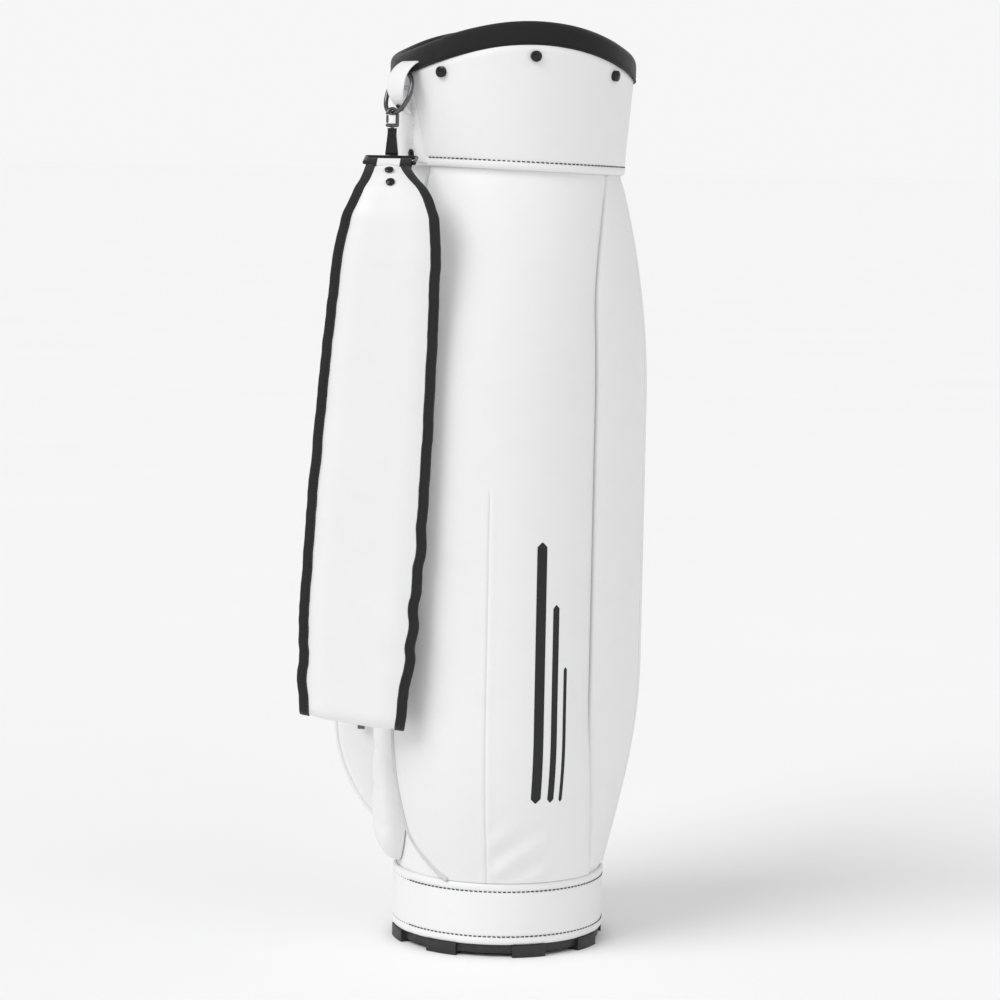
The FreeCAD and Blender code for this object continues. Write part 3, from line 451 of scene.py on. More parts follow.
def knit(name, colour, pitch=0.9 * MM):
    """Fine stretch knit laid over foam."""
    look = Look(name, Specular_IOR_Level=0.25, Sheen_Weight=0.35, Sheen_Roughness=0.35)
    loops = look.weave(pitch)
    fuzz = look.noise(0.5 * MM, 3)
    tone = look.noise(22 * MM, 4)
    look.colours(look.blend(tone, loops, fuzz), shade(colour, 0.7), shade(colour, 1.8))
    look.roughness(look.ramp(fuzz, 0.2, 0.8, 0.75, 0.92))
    look.bump(tone, 0.6 * MM, 0.3)
    look.bump(loops, 0.15 * MM, 0.6)
    return look.material


def plastic(name, colour, rough=(0.38, 0.55)):
    """Moulded plastic: spark-eroded grain with a few scuffs."""
    look = Look(name, Specular_IOR_Level=0.5)
    grain = look.noise(0.6 * MM, 2)
    scuff = look.ramp(look.noise(6 * MM, 6, 0.7), 0.58, 0.75, 0.0, 1.0)
    look.colours(scuff, colour, shade(colour, 2.2))
    look.roughness(look.ramp(look.noise(9 * MM, 4), 0.3, 0.7, *rough))
    look.bump(grain, 0.06 * MM, 0.5)
    return look.material


def metal(name, colour, rough=(0.14, 0.3), metallic=1.0):
    """Plated metal: clouded plating with fine scratches."""
    look = Look(name, Metallic=metallic)
    cloud = look.noise(4 * MM, 4)
    scratches = look.node("Mapping", {"Vector": look.object_space, "Scale": (1.0, 1.0, 0.06)})
    fine = look.noise(0.35 * MM, 3, vector=scratches.outputs["Vector"])
    look.colours(cloud, shade(colour, 0.75), shade(colour, 1.3))
    look.roughness(look.ramp(fine, 0.35, 0.7, *rough))
    look.bump(fine, 0.012 * MM, 0.5)
    return look.material


def thread(name, colour):
    """Twisted sewing thread."""
    look = Look(name, Specular_IOR_Level=0.3, Sheen_Weight=0.2)
    twist = look.noise(0.6 * MM, 2)
    look.colours(twist, shade(colour, 0.7), shade(colour, 1.5))
    look.roughness(look.ramp(twist, 0.3, 0.7, 0.5, 0.75))
    look.bump(twist, 0.1 * MM, 0.6)
    return look.material


def printed_ink(name):
    """Slightly raised matt ink with pinholes from the leather's grain."""
    look = Look(name, Specular_IOR_Level=0.35)
    pebble = look.cells(PEBBLE)
    look.colours(look.ramp(pebble, 0.0, 0.25, 1.0, 0.0), BLACK, shade(BLACK, 3.0))
    look.roughness(look.ramp(look.noise(5 * MM, 3), 0.3, 0.7, 0.42, 0.6))
    look.bump(pebble, 0.06 * MM, 0.4)
    return look.material


def floor_look():
    """Pale, slightly uneven studio paper."""
    look = Look("studio_floor", Specular_IOR_Level=0.1)
    look.colours(look.noise(0.6, 3), (0.95, 0.95, 0.95), (0.98, 0.98, 0.98))
    look.roughness(look.ramp(look.noise(0.02, 2), 0.3, 0.7, 0.85, 0.95))
    return look.material


WHITE_LEATHER = leather("white_synthetic_leather", WHITE)
PAD_LEATHER = leather("strap_leather", WHITE, 0.9 * MM, 0.08 * MM)
TUBE_WALL = tube_wall("tube_wall", WHITE, (0.06, 0.06, 0.065))
KNIT = knit("black_knit", BLACK)
WEBBING = webbing("black_webbing", BLACK)
# White leather greyed to 0.76: painted shade for the shadowed groove beside the near pocket's
# spine-side piping.
SHADED_PIPING_LEATHER = leather("piping_leather_painted_shade", shade(WHITE, 0.76))
WHITE_TAPE = webbing("white_zip_tape", shade(WHITE, 0.8), 0.8 * MM, 0.1)
TRICOT = knit("grey_tricot", (0.035, 0.035, 0.038), 1.2 * MM)
BLACK_PLASTIC = plastic("black_moulded_plastic", (0.016, 0.016, 0.017))
TEETH_PLASTIC = plastic("white_zip_teeth", shade(WHITE, 0.85), (0.25, 0.4))
ROD_GLASS = plastic("grey_fibreglass", (0.12, 0.12, 0.12), (0.3, 0.5))
GUNMETAL = metal("gunmetal", (0.13, 0.13, 0.135))
BLACK_METAL = metal("black_plated_metal", (0.02, 0.02, 0.021), (0.12, 0.28), 0.6)
BLACK_THREAD = thread("black_thread", (0.02, 0.02, 0.022))
WHITE_THREAD = thread("white_thread", shade(WHITE, 0.8))
INK = printed_ink("black_ink")

CAD_LOOKS = {
    "base_tray": BLACK_PLASTIC, "top_collar": BLACK_PLASTIC, "tray_ring": BLACK_PLASTIC,
    "divider_ring": BLACK_PLASTIC, "divider_bars": BLACK_PLASTIC, "strap_buckle": BLACK_PLASTIC,
    "shell_spine_panel": TUBE_WALL, "shell_near_panel": TUBE_WALL,
    "shell_far_panel": TUBE_WALL, "shell_front_panel": TUBE_WALL,
    "stay_rods": ROD_GLASS, "snap_studs": BLACK_METAL, "body_rivets": BLACK_METAL,
    "strap_rivets": BLACK_METAL, "strap_ring": GUNMETAL, "snap_hook": GUNMETAL,
    "hook_gate": GUNMETAL, "hook_swivel": BLACK_METAL, "strap_loop": BLACK_METAL,
    "tail_hook": BLACK_METAL, "lower_ring": GUNMETAL, "lower_ring_tab": BLACK_PLASTIC,
    "near_zip_slider": GUNMETAL, "far_zip_slider": GUNMETAL, "front_zip_slider": GUNMETAL,
    "near_zip_pull": GUNMETAL, "far_zip_pull": GUNMETAL, "front_zip_pull": GUNMETAL,
}
EDGE_WIDTHS = {
    "base_tray": 0.8 * MM, "strap_buckle": 0.5 * MM, "hook_swivel": 0.5 * MM,
    "near_zip_slider": 0.4 * MM, "far_zip_slider": 0.4 * MM, "front_zip_slider": 0.4 * MM,
    "near_zip_pull": 0.4 * MM, "far_zip_pull": 0.4 * MM, "front_zip_pull": 0.4 * MM,
}


def dress_cad_nodes():
    """Gives each CAD node that stays its material, and rounds the moulded edges."""
    for name, material in CAD_LOOKS.items():
        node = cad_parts[name]
        node.data.materials.clear()
        node.data.materials.append(material)
        if name in EDGE_WIDTHS:
            weld = node.modifiers.new("weld", "WELD")
            weld.merge_threshold = 0.01 * MM
            edge = node.modifiers.new("rounded_edges", "BEVEL")
            edge.width = EDGE_WIDTHS[name]
            edge.segments = 2
            edge.limit_method = "ANGLE"
            edge.angle_limit = math.radians(40)
            edge.harden_normals = True


# ---- base, cuff and rim ----------------------------------------------------------------------
TURN_STEP = 2
RING_ANGLES = range(0, 360, TURN_STEP)
COVER_ANGLE = 34.0                           # half angle of the spine cover's lower edge


def cuff_radius(z):
    share = (z - CUFF_BOTTOM) / (CUFF_TOP_Z - CUFF_BOTTOM)
    return CUFF_TOP_R - CUFF_TAPER * (1 - share)


def cuff_bottom(angle):
    return CUFF_BOTTOM - CUFF_DIP * math.cos(math.radians(angle))


def rim_top(angle):
    return RIM_MID - RIM_SWING * math.cos(math.radians(2 * angle))


# Each pair is a height from the folded edge and how far the face stands out, in mm. The last
# dip but one is the row of stitches.
FOLDED_EDGE = [(0.0, -1.3), (0.5, -0.4), (1.6, 0.4), (3.4, 0.75), (5.4, 0.55), (7.0, -0.05),
               (HEM / MM, -0.55), (9.0, -0.1), (10.5, 0.1), (14.0, 0.0)]


PUCKER = 0.28 * MM
WALL_SAG = 0.6 * MM


def wall_profile(bottom, top, skin, steps, radius_at, wobble, fold_top=False):
    """A closed (radius, z) section of a sewn wall, outside upwards and inside downwards."""
    heights = [bottom + h * MM for h, out in FOLDED_EDGE]
    offsets = [out * MM for h, out in FOLDED_EDGE]
    upper = heights[-1]
    upper_end = top - FOLDED_EDGE[-1][0] * MM if fold_top else top
    for k in range(1, steps + 1):
        heights.append(upper + (upper_end - upper) * k / steps)
        offsets.append(0.0)
    if fold_top:
        for h, out in reversed(FOLDED_EDGE[:-1]):
            heights.append(top - h * MM)
            offsets.append(out * MM)
    outer = [(radius_at(z) + out + wobble(z), z) for z, out in zip(heights, offsets)]
    inner = [(radius_at(z) - skin, z) for z in reversed(heights)]
    return outer + inner


def ring_of(profile_at):
    return [[polar(r, angle, z) for r, z in profile_at(angle)] for angle in RING_ANGLES]


def cuff():
    """The tapered wall under the rim, with a folded and stitched lower edge."""
    def profile(angle):
        bottom = cuff_bottom(angle)
        puckers = ripple(outwards(angle) * CUFF_TOP_R, 9 * MM)

        def wobble(z):
            near_stitch = math.exp(-abs(z - bottom - HEM) / (7 * MM))
            broad = ripple(polar(CUFF_TOP_R, angle, z), 70 * MM, 3.0)
            return PUCKER * puckers * near_stitch + WALL_SAG * broad

        top = rim_top(angle) - RIM_DEPTH + CLEAR
        return wall_profile(bottom, top, CUFF_SKIN, 14, cuff_radius, wobble)

    piece = loft("cuff_leather", ring_of(profile), wrap_rows=True)
    finish_piece(piece, WHITE_LEATHER, "bag", "white_leather", ["top_cuff"])
    angles = np.arange(SPINE + COVER_ANGLE, SPINE + 360 - COVER_ANGLE, 0.5)
    seam_row("cuff_stitches", angles, lambda a: cuff_bottom(a) + HEM, cuff_radius, BLACK_THREAD)


def seam_row(name, angles, height_at, radius_at, material):
    """Stitches round the bag, sunk in the dip of a folded edge."""
    path = [polar(radius_at(height_at(a)) - STITCH_SINK, a, height_at(a)) for a in angles]
    stitches(name, path, [outwards(a) for a in angles], material)


def band():
    """The wrap round the base, folded and stitched at both edges, with a lapped end."""
    skin = BAND_R - TUBE_R - CLEAR

    def profile(angle):
        lap = 0.9 * MM * smooth((angle - SPINE + 6) / 1.5) * (angle < SPINE + 24)

        def wobble(z):
            return lap + 0.45 * MM * ripple(polar(BAND_R, angle, z), 45 * MM, 7.0)

        return wall_profile(BAND_BOTTOM, BAND_TOP, skin, 8, lambda z: BAND_R, wobble, True)

    piece = loft("base_band_wrap", ring_of(profile), wrap_rows=True)
    finish_piece(piece, WHITE_LEATHER, "bag", "white_leather", ["base_band"])
    angles = np.arange(0, 360.5, 0.5)
    for name, z in (("lower", BAND_BOTTOM + HEM), ("upper", BAND_TOP - HEM)):
        seam_row("band_stitches_" + name, angles, lambda a: z, lambda z: BAND_R, BLACK_THREAD)


RIM_SEAM = 223.0                             # angle of the lapped seam
RIM_CROWN = 8.5 * MM                         # height of the rounded top of the foam
RIM_BULGE = 0.3 * MM
CORD_R = 0.9 * MM


def rim():
    """Foam wrapped in black knit, higher at the sides, with one lapped seam."""
    half = (RIM_OUTER_R - RIM_INNER_R - RIM_TUCK) / 2
    middle_r = RIM_INNER_R + half

    def profile(angle):
        top = rim_top(angle)
        bottom = top - RIM_DEPTH
        off_seam = math.radians(angle - RIM_SEAM) * RIM_OUTER_R
        groove = 1.2 * MM * math.exp(-(off_seam / (1.6 * MM)) ** 2)
        lap = 0.7 * MM * smooth(off_seam / (3 * MM)) * smooth((262 - angle) / 30)
        lap *= off_seam > 0
        full = 0.5 * MM + lap - groove + 0.35 * MM * ripple(outwards(angle), 0.35, 5.0)
        width = half + full
        widest = width + RIM_BULGE
        side = [(middle_r + half - 0.6 * MM, bottom), (middle_r + width, bottom + 1.2 * MM)]
        side += [(middle_r + widest, bottom + RIM_DEPTH * s) for s in (0.2, 0.35, 0.5)]
        arc = []
        for k in range(8):
            turn = math.pi * (k + 0.5) / 16
            arc.append((middle_r + widest * math.cos(turn),
                        top - RIM_CROWN + (RIM_CROWN + full) * math.sin(turn)))
        outer = side + arc
        return outer + [(2 * middle_r - r, z) for r, z in reversed(outer)]

    piece = loft("rim_foam", ring_of(profile), wrap_rows=True)
    finish_piece(piece, KNIT, "bag", "black_fabric", ["rim_padding"])
    for name, radius in (("outer", RIM_OUTER_R - RIM_TUCK), ("inner", RIM_INNER_R + 0.5 * MM)):
        path = [polar(radius, a, rim_top(a) - RIM_DEPTH) for a in RING_ANGLES]
        cord = sweep("rim_seam_cord_" + name, path, [outwards(a) for a in RING_ANGLES],
                     circle(CORD_R, 8), closed=True)
        finish_piece(cord, KNIT, "bag", "black_fabric")


# ---- spine cover and ring tab --------------------------------------------------------------------
COVER_LOW = low("spine_cover").z
COVER_HIGH = 831 * MM
COVER_LOWER_HALF = 60 * MM
COVER_UPPER_HALF = 47 * MM
COVER_CORNER = 16 * MM                       # how far its rounded top corners draw in
COVER_THICK = 1.5 * MM
COVER_SEAT = 0.5 * MM
COVER_STEP = 4.4 * MM                        # it stands this much further out below COVER_STEP_Z
COVER_STEP_Z = 802 * MM
COVER_STEP_RUN = 28 * MM
COVER_BACK = 4 * MM


def cover_half(share):
    """Half width of the cover from its lower edge to its rounded top."""
    half = COVER_LOWER_HALF + (COVER_UPPER_HALF - COVER_LOWER_HALF) * share
    corner = max(0.0, (share - 0.82) / 0.18)
    return half - COVER_CORNER * (1 - math.sqrt(max(0.0, 1 - corner ** 2)))


def cover_point(share, side, sink=0.0):
    """A point of the cover's face. `side` runs from -1 to 1 across it."""
    z = COVER_LOW + (COVER_HIGH - COVER_LOW) * share
    edge = min(1.0, (1 - abs(side)) * 9, (1 - share) * 12, share * 14 + 0.2)
    thick = COVER_THICK + COVER_STEP * smooth((COVER_STEP_Z - z) / COVER_STEP_RUN)
    thick += 0.5 * MM * ripple((side, share, 1.0), 0.5)
    radius = cuff_radius(z) + COVER_SEAT + thick * math.sqrt(1 - (1 - edge) ** 2) - sink
    x = cover_half(share) * side
    return polar(radius, SPINE + math.degrees(math.asin(x / radius)), z)


def spine_cover():
    """The patch over the spine, with stitches inside its edge."""
    sides = [math.sin(math.pi / 2 * s) for s in np.linspace(-1, 1, 41)]
    grid = []
    for share in np.linspace(0, 1, 40):
        front = [cover_point(share, side) for side in sides]
        back = [cover_point(share, side, COVER_BACK) for side in reversed(sides)]
        grid.append(front + back)
    piece = loft("spine_cover_patch", grid)
    finish_piece(piece, WHITE_LEATHER, "bag", "white_leather", ["spine_cover"])
    path = [cover_point(share, -0.93) for share in np.linspace(0.03, 0.93, 60)]
    path += [cover_point(0.94, side) for side in np.linspace(-0.9, 0.9, 60)]
    path += [cover_point(share, 0.93) for share in np.linspace(0.93, 0.03, 60)]
    stitches("cover_stitches", path, [(point * Vector((1, 1, 0))).normalized() for point in path],
             WHITE_THREAD, slot="white_leather")


TAB_ANGLE = 204.0
TAB_TOP = 853 * MM
TAB_TIP = low("ring_tab").z
TAB_HALF = 15 * MM
TAB_TIP_HALF = 6.5 * MM
TAB_BULGE_R = 135 * MM
TAB_THICK = 2.4 * MM
TAB_SEAT = 0.8 * MM


def ring_tab():
    """A folded strip that bulges out over the ring's wire and narrows to its riveted tip."""
    start_r = cuff_radius(TAB_TOP) + TAB_SEAT
    half = (TAB_TOP - TAB_TIP) / 2
    sagitta = TAB_BULGE_R - start_r
    radius = (half ** 2 + sagitta ** 2) / (2 * sagitta)
    middle = (TAB_TOP + TAB_TIP) / 2
    reach = math.asin(half / radius)
    path = []
    normals = []
    for turn in np.linspace(reach, -reach, 40):
        out = (0, math.cos(turn), math.sin(turn))
        line = radius - TAB_THICK / 2
        path.append(turned((0, TAB_BULGE_R - radius + line * out[1], middle + line * out[2]),
                           TAB_ANGLE))
        normals.append(turned(out, TAB_ANGLE))

    def profile(share):
        narrow = smooth((share - 0.45) / 0.5)
        width = TAB_HALF + (TAB_TIP_HALF - TAB_HALF) * narrow
        tip = max(0.0, (share - 0.9) / 0.1)
        width *= math.sqrt(max(0.06, 1 - tip ** 2))
        return flat_oval(width, TAB_THICK / 2, 24, 0.4)

    piece = sweep("ring_tab_strip", path, normals, profile)
    finish_piece(piece, WHITE_LEATHER, "bag", "white_leather", ["ring_tab"])


# ---- grab handle and dividers --------------------------------------------------------------------
def relaxed(path, rounds):
    """The path with its corners eased, ends kept."""
    path = np.array([tuple(point) for point in path])
    for _ in range(rounds):
        path[1:-1] = (path[:-2] + 2 * path[1:-1] + path[2:]) / 4
    return path


HANDLE_END = 18 * MM                         # flat length under the rivets at each end
HANDLE_THICK = 5 * MM
HANDLE_PAD = 2.2 * MM                        # extra half thickness in the padded middle


def grab_handle():
    """A padded strip bowed out from the spine between its two riveted ends."""
    bottom = low("grab_handle").z
    top = high("grab_handle").z
    reach = -low("grab_handle").x - TUBE_R
    half_width = high("grab_handle").y
    middle = (top + bottom) / 2
    half = (top - bottom) / 2 - HANDLE_END
    radius = (half ** 2 + reach ** 2) / (2 * reach) - HANDLE_THICK / 2
    centre = TUBE_R + reach - HANDLE_THICK / 2 - radius
    seat = TUBE_R + HANDLE_THICK / 2
    limit = math.acos((seat - centre) / radius)
    flat = HANDLE_END * 0.9
    line = [(0, seat, bottom), (0, seat, bottom + flat)]
    line += [(0, centre + radius * math.cos(t), middle + radius * math.sin(t))
             for t in np.linspace(-limit, limit, 60)]
    line += [(0, seat, top - flat), (0, seat, top)]
    path = relaxed([turned(p, SPINE) for p in resample(line, 3 * MM)], 4)
    along = tangents(path)
    side = np.array(turned((1, 0, 0), SPINE))
    normals = np.cross(side, along)
    normals *= np.sign(np.sum(normals * np.array(outwards(SPINE)), axis=1).mean())

    def profile(share):
        swell = HANDLE_PAD * smooth(min(share, 1 - share) * 5 - 0.35)
        return flat_oval(half_width, HANDLE_THICK / 2 + swell, 28, 0.4)

    piece = sweep("handle_pad", path, normals, profile)
    finish_piece(piece, WHITE_LEATHER, "bag", "white_leather", ["grab_handle"])
    for name, sign in (("left", -1), ("right", 1)):
        edge = sign * (half_width - 2.5 * MM)
        row = path + side * edge + normals * (HANDLE_THICK / 2 + 0.5 * MM)
        inner = slice(4, -4)
        stitches("handle_stitches_" + name, row[inner], normals[inner], BLACK_THREAD)


CLOTH_THICK = 1 * MM
CLOTH_SLACK = 2.2 * MM
CROSS_GAP = 1.6 * MM                         # from the middle of the long sheet to a cross sheet


def divider_sheet(name, start, end, node):
    """A cloth sheet hung from a divider bar down to the tray."""
    bottom = low(node).z
    top = high(node).z
    across = Vector(end) - Vector(start)
    out = Vector((-across.y, across.x, 0)).normalized()
    half = CLOTH_THICK / 2
    grid = []
    for z in np.linspace(bottom, top, 60):
        slack = CLOTH_SLACK * math.sin(math.pi * (z - bottom) / (top - bottom))
        front = []
        back = []
        for share in np.linspace(0, 1, 26):
            place = Vector(start) + across * share + Vector((0, 0, z))
            sway = slack * math.sin(math.pi * share) * ripple(place, 60 * MM, 11.0)
            front.append(place + out * (sway + half))
            back.append(place + out * (sway - half))
        grid.append(front + back[::-1])
    piece = loft(name, grid)
    finish_piece(piece, TRICOT, "bag", "divider_cloth", [node])


def dividers():
    reach = high("divider_wall_long").y
    divider_sheet("divider_cloth_long", (0, -reach, 0), (0, reach, 0), "divider_wall_long")
    for name, sign in (("front", 1), ("back", -1)):
        divider_sheet("divider_cloth_" + name, (sign * CROSS_GAP, 0, 0), (sign * reach, 0, 0),
                      "divider_walls_cross")


# ---- pockets ---------------------------------------------------------------------------------------
NEAR_GUSSET = -149.0
FAR_GUSSET = 157.0
NEAR_SEAM = -106.0                           # a vertical seam low on the near pocket
NEAR_SEAM_TOP = 0.458
POCKET_GAP = 0.6                             # angle between one pocket and the next
PANEL_PIPING = 20.0                          # half angle of the front pocket's face panel
CLUSTER = (-3.2, -1.8, -1.0, -0.5, 0.0, 0.5, 1.0, 1.8, 3.2)   # columns beside a seam, in mm
FINE = (0.0, 0.8, 2.0, 3.5, 5.5, 8.0, 11.0, 15.0)             # rows near each end, in mm
ROW_STEP = 5 * MM
TUCK = 8 * MM                                # the sewn edge runs this far up inside the cuff
CREASE = (1.1 * MM, 0.9 * MM)                # depth and half width of a seam
SHOULDER = (0.45 * MM, 3.4 * MM, 2.6 * MM)   # height, place and half width of the swell beside it
CALM = 15 * MM                               # no sag this close to a pocket's sewn edges
SAG = ((1.3 * MM, 110 * MM, 1.0), (0.35 * MM, 34 * MM, 2.0))  # depth, size and seed


def circle_through(points):
    """Centre and radius of the circle through three points of a plane."""
    (ax, ay), (bx, by), (cx, cy) = points
    d = 2 * (ax * (by - cy) + bx * (cy - ay) + cx * (ay - by))
    a2, b2, c2 = ax * ax + ay * ay, bx * bx + by * by, cx * cx + cy * cy
    x = (a2 * (by - cy) + b2 * (cy - ay) + c2 * (ay - by)) / d
    y = (a2 * (cx - bx) + b2 * (ax - cx) + c2 * (bx - ax)) / d
    return x, y, math.hypot(ax - x, ay - y)


class Pocket:
    """A soft pocket lofted round the tube. Depths and lips are stand-offs from the tube."""

    def __init__(self, node, ramps, powers, ends, depths, lips, corner, seams=(), wrinkle=None):
        self.node = node
        self.bottom = low(node).z
        self.top = high(node).z
        self.tuck = CUFF_BOTTOM + TUCK
        self.ramps = ramps
        self.powers = powers
        self.ends = ends
        self.depths = depths
        self.lips = lips
        self.corner = corner                # radius of the corner between face and gusset
        self.seams = seams
        self.wrinkle = wrinkle

    def fullness(self, z):
        """How far the face has risen from its sewn ends, from 0 to 1."""
        rise_low = min(1.0, max(0.0, (z - self.bottom) / self.ramps[0]))
        rise_high = min(1.0, max(0.0, (self.top - z) / self.ramps[1]))
        return min(math.sin(rise_low * math.pi / 2) ** self.powers[0],
                   math.sin(rise_high * math.pi / 2) ** self.powers[1])

    def standoff(self, z, place):
        """Radius of the face at its first edge, middle or last edge."""
        share = min(1.0, (z - self.bottom) / (self.top - self.bottom))
        lip = self.lips[0] + (self.lips[1] - self.lips[0]) * share
        full = self.fullness(z)
        return TUBE_R + CLEAR + lip * (1 - full) + self.depths[place] * full

    def arc(self, z):
        """End angles at this height and the circle that the face lies on."""
        first, last = self.ends(z)
        angles = (first, (first + last) / 2, last)
        points = [tuple(polar(self.standoff(z, k), a, 0))[:2] for k, a in enumerate(angles)]
        return first, last, circle_through(points)

    def face(self, z, angle, ring=None):
        """Radius of the plain face at an angle."""
        x, y, radius = ring or self.arc(z)[2]
        turn = math.radians(angle)
        along = x * math.cos(turn) + y * math.sin(turn)
        return along + math.sqrt(max(0.0, along ** 2 - x * x - y * y + radius ** 2))

    def facing(self, z, angle):
        """Direction that the plain face looks at an angle."""
        x, y = self.arc(z)[2][:2]
        point = polar(self.face(z, angle), angle, 0)
        return math.degrees(math.atan2(point.y - y, point.x - x))

    def surface(self, z, angle, arc=None):
        """Radius of the face with its seams, sag and wrinkles."""
        first, last, ring = arc or self.arc(z)
        radius = self.face(z, angle, ring)
        for seam, seam_top in self.seams:
            off = math.radians(angle - seam) * radius
            shown = smooth((seam_top - z) / (12 * MM))
            crease = CREASE[0] * math.exp(-(off / CREASE[1]) ** 2)
            shoulder = SHOULDER[0] * math.exp(-((abs(off) - SHOULDER[1]) / SHOULDER[2]) ** 2)
            radius -= shown * (crease - shoulder)
            pucker = math.exp(-(off / (9 * MM)) ** 2) * shown
            radius += 0.22 * MM * pucker * ripple((z, seam, 0), 8 * MM)
        place = polar(radius, angle, z)
        inside = smooth((z - self.bottom) / CALM) * smooth((self.top - z) / CALM)
        inside *= smooth((angle - first) * radius / 800) * smooth((last - angle) * radius / 800)
        radius += inside * sum(depth * ripple(place, size, seed) for depth, size, seed in SAG)
        if self.wrinkle:
            radius += self.wrinkle(z, angle, radius)
        return radius

    def angles(self, first, last, radius):
        """Columns across the face, close together beside each seam."""
        margin = math.degrees(self.corner / radius)
        stops = [first + margin] + [seam[0] for seam in self.seams] + [last - margin]
        cluster = [math.degrees(c * MM / radius) for c in CLUSTER]
        final = len(stops) - 2
        count = max(6, 96 // (final + 1))
        result = []
        for index, (start, end) in enumerate(zip(stops, stops[1:])):
            begin = start + (cluster[-1] if index else 0)
            finish = end - (cluster[-1] if index < final else 0)
            if index:
                result += [start + c for c in cluster[:-1]]
            result += list(np.linspace(begin, finish, count, endpoint=index == final))
        return result

    def bend(self, depth):
        """Radius of the rounded corner where the pocket is this deep."""
        return min(self.corner, 0.9 * depth)

    def row(self, z):
        """One closed section: gusset, rounded corner, face, corner and gusset, then the back."""
        first, last, ring = self.arc(z)
        inner = TUBE_R + CLEAR / 2
        outer = []
        for angle, sign in ((first, 1), (last, -1)):
            radius = self.face(z, angle, ring)
            bend = self.bend(radius - inner)
            wall = [(angle, inner + (radius - bend - inner) * s) for s in (0.0, 0.33, 0.67)]
            for turn in np.arange(7) * math.pi / 14:
                swing = math.degrees(bend * (1 - math.cos(turn)) / radius)
                wall.append((angle + sign * swing, radius - bend + bend * math.sin(turn)))
            outer.append(wall)
        columns = self.angles(first, last, TUBE_R)
        flat = [(a, self.surface(z, a, (first, last, ring))) for a in columns]
        front = outer[0] + flat + outer[1][::-1]
        back = [(a, inner - CLEAR) for a, r in reversed(front)]
        return [polar(r, a, z) for a, r in front + back]

    def levels(self):
        """Heights of the rows, close together at both ends."""
        ends = [self.bottom + f * MM for f in FINE] + [self.top - f * MM for f in FINE]
        ends += [self.top + (self.tuck - self.top) * s for s in (0.4, 1.0)]
        middle = np.arange(self.bottom + 20 * MM, self.top - 16 * MM, ROW_STEP)
        return sorted(ends + list(middle))

    def build(self, name):
        piece = loft(name, [self.row(z) for z in self.levels()], sharp=50)
        return finish_piece(piece, WHITE_LEATHER, "bag", "white_leather", [self.node])

    def edge(self, end, lift=0.0):
        """Path and outward directions along one corner of the face, for its piping."""
        path = []
        normals = []
        for z in self.levels():
            first, last, ring = self.arc(z)
            angle, sign = ((first, 1), (last, -1))[end]
            radius = self.face(z, angle, ring)
            bend = self.bend(radius - TUBE_R)
            give = bend * (1 - math.sqrt(0.5))
            path.append(polar(radius - give + lift, angle + sign * math.degrees(give / radius), z))
            normals.append(outwards(angle - sign * 45))
        return path, normals

    def line(self, angle, bottom, top, lift=0.0):
        """Path and directions up the face at one angle."""
        heights = np.arange(bottom, top, 6 * MM)
        path = [polar(self.surface(z, angle) + lift, angle, z) for z in heights]
        return path, [outwards(angle)] * len(path)


CURL_HEIGHT = 50 * MM
CURL_TURN = 20.5                             # how far the near pocket's edge swings in at its foot
FRONT_HALF = 40.0                            # half angle of the front pocket at its ends
FRONT_FLARE = 16.0                           # and how much more it is where the pocket is deepest
WRINKLE = 2.3 * MM
WRINKLE_PITCH = 17 * MM
WRINKLE_SLOPE = 0.62


def near_edge(z):
    """Edge of the near pocket beside the spine, which swings in above the base."""
    curl = max(0.0, 1 - (z - BAND_TOP) / CURL_HEIGHT)
    return NEAR_GUSSET + CURL_TURN * curl ** 2


def front_edge(z, side):
    """Edge of the front pocket, narrow at its ends and wide where it is deepest."""
    swell = min(1.0, max(0.0, (z - BAND_TOP) / 0.180), max(0.0, (CUFF_BOTTOM - z) / 0.140))
    return side * (FRONT_HALF + FRONT_FLARE * math.sin(swell * math.pi / 2))


def near_wrinkle(z, angle, radius):
    """Slack folds that rise towards the front above the hem."""
    across = math.radians(angle - NEAR_SEAM) * radius
    rise = z - BAND_TOP
    window = smooth(across / (14 * MM)) * smooth((72 * MM - across) / (20 * MM))
    window *= smooth(rise / (8 * MM)) * smooth((75 * MM - rise) / (45 * MM))
    phase = math.pi * (rise - WRINKLE_SLOPE * across) / WRINKLE_PITCH
    drift = 1.6 * ripple((across, rise, 0), 40 * MM, 8.0)
    return WRINKLE * window * math.sin(phase + drift)


NEAR = Pocket("near_side_pocket", (0.150, 0.214), (1.0, 0.8),
              lambda z: (near_edge(z), front_edge(z, -1) - POCKET_GAP),
              (0.040, 0.038, 0.024), (0.0025, 0.005), 9 * MM,
              [(NEAR_SEAM, NEAR_SEAM_TOP)], near_wrinkle)
FAR = Pocket("far_side_pocket", (0.110, 0.300), (0.6, 0.8),
             lambda z: (front_edge(z, 1) + POCKET_GAP, FAR_GUSSET),
             (0.026, 0.060, 0.071), (0.003, 0.005), 10 * MM)
FRONT = Pocket("front_pocket", (0.200, 0.214), (1.0, 0.8),
               lambda z: (front_edge(z, -1), front_edge(z, 1)),
               (0.024, 0.036, 0.024), (0.0025, 0.005), 4 * MM,
               [(-PANEL_PIPING, 1.0), (PANEL_PIPING, 1.0)])


def piping(name, path, normals, radius=PIPING_R, material=None):
    cord = sweep(name, relaxed(path, 2), normals, circle(radius, 8))
    return finish_piece(cord, material or WHITE_LEATHER, "bag", "white_leather")


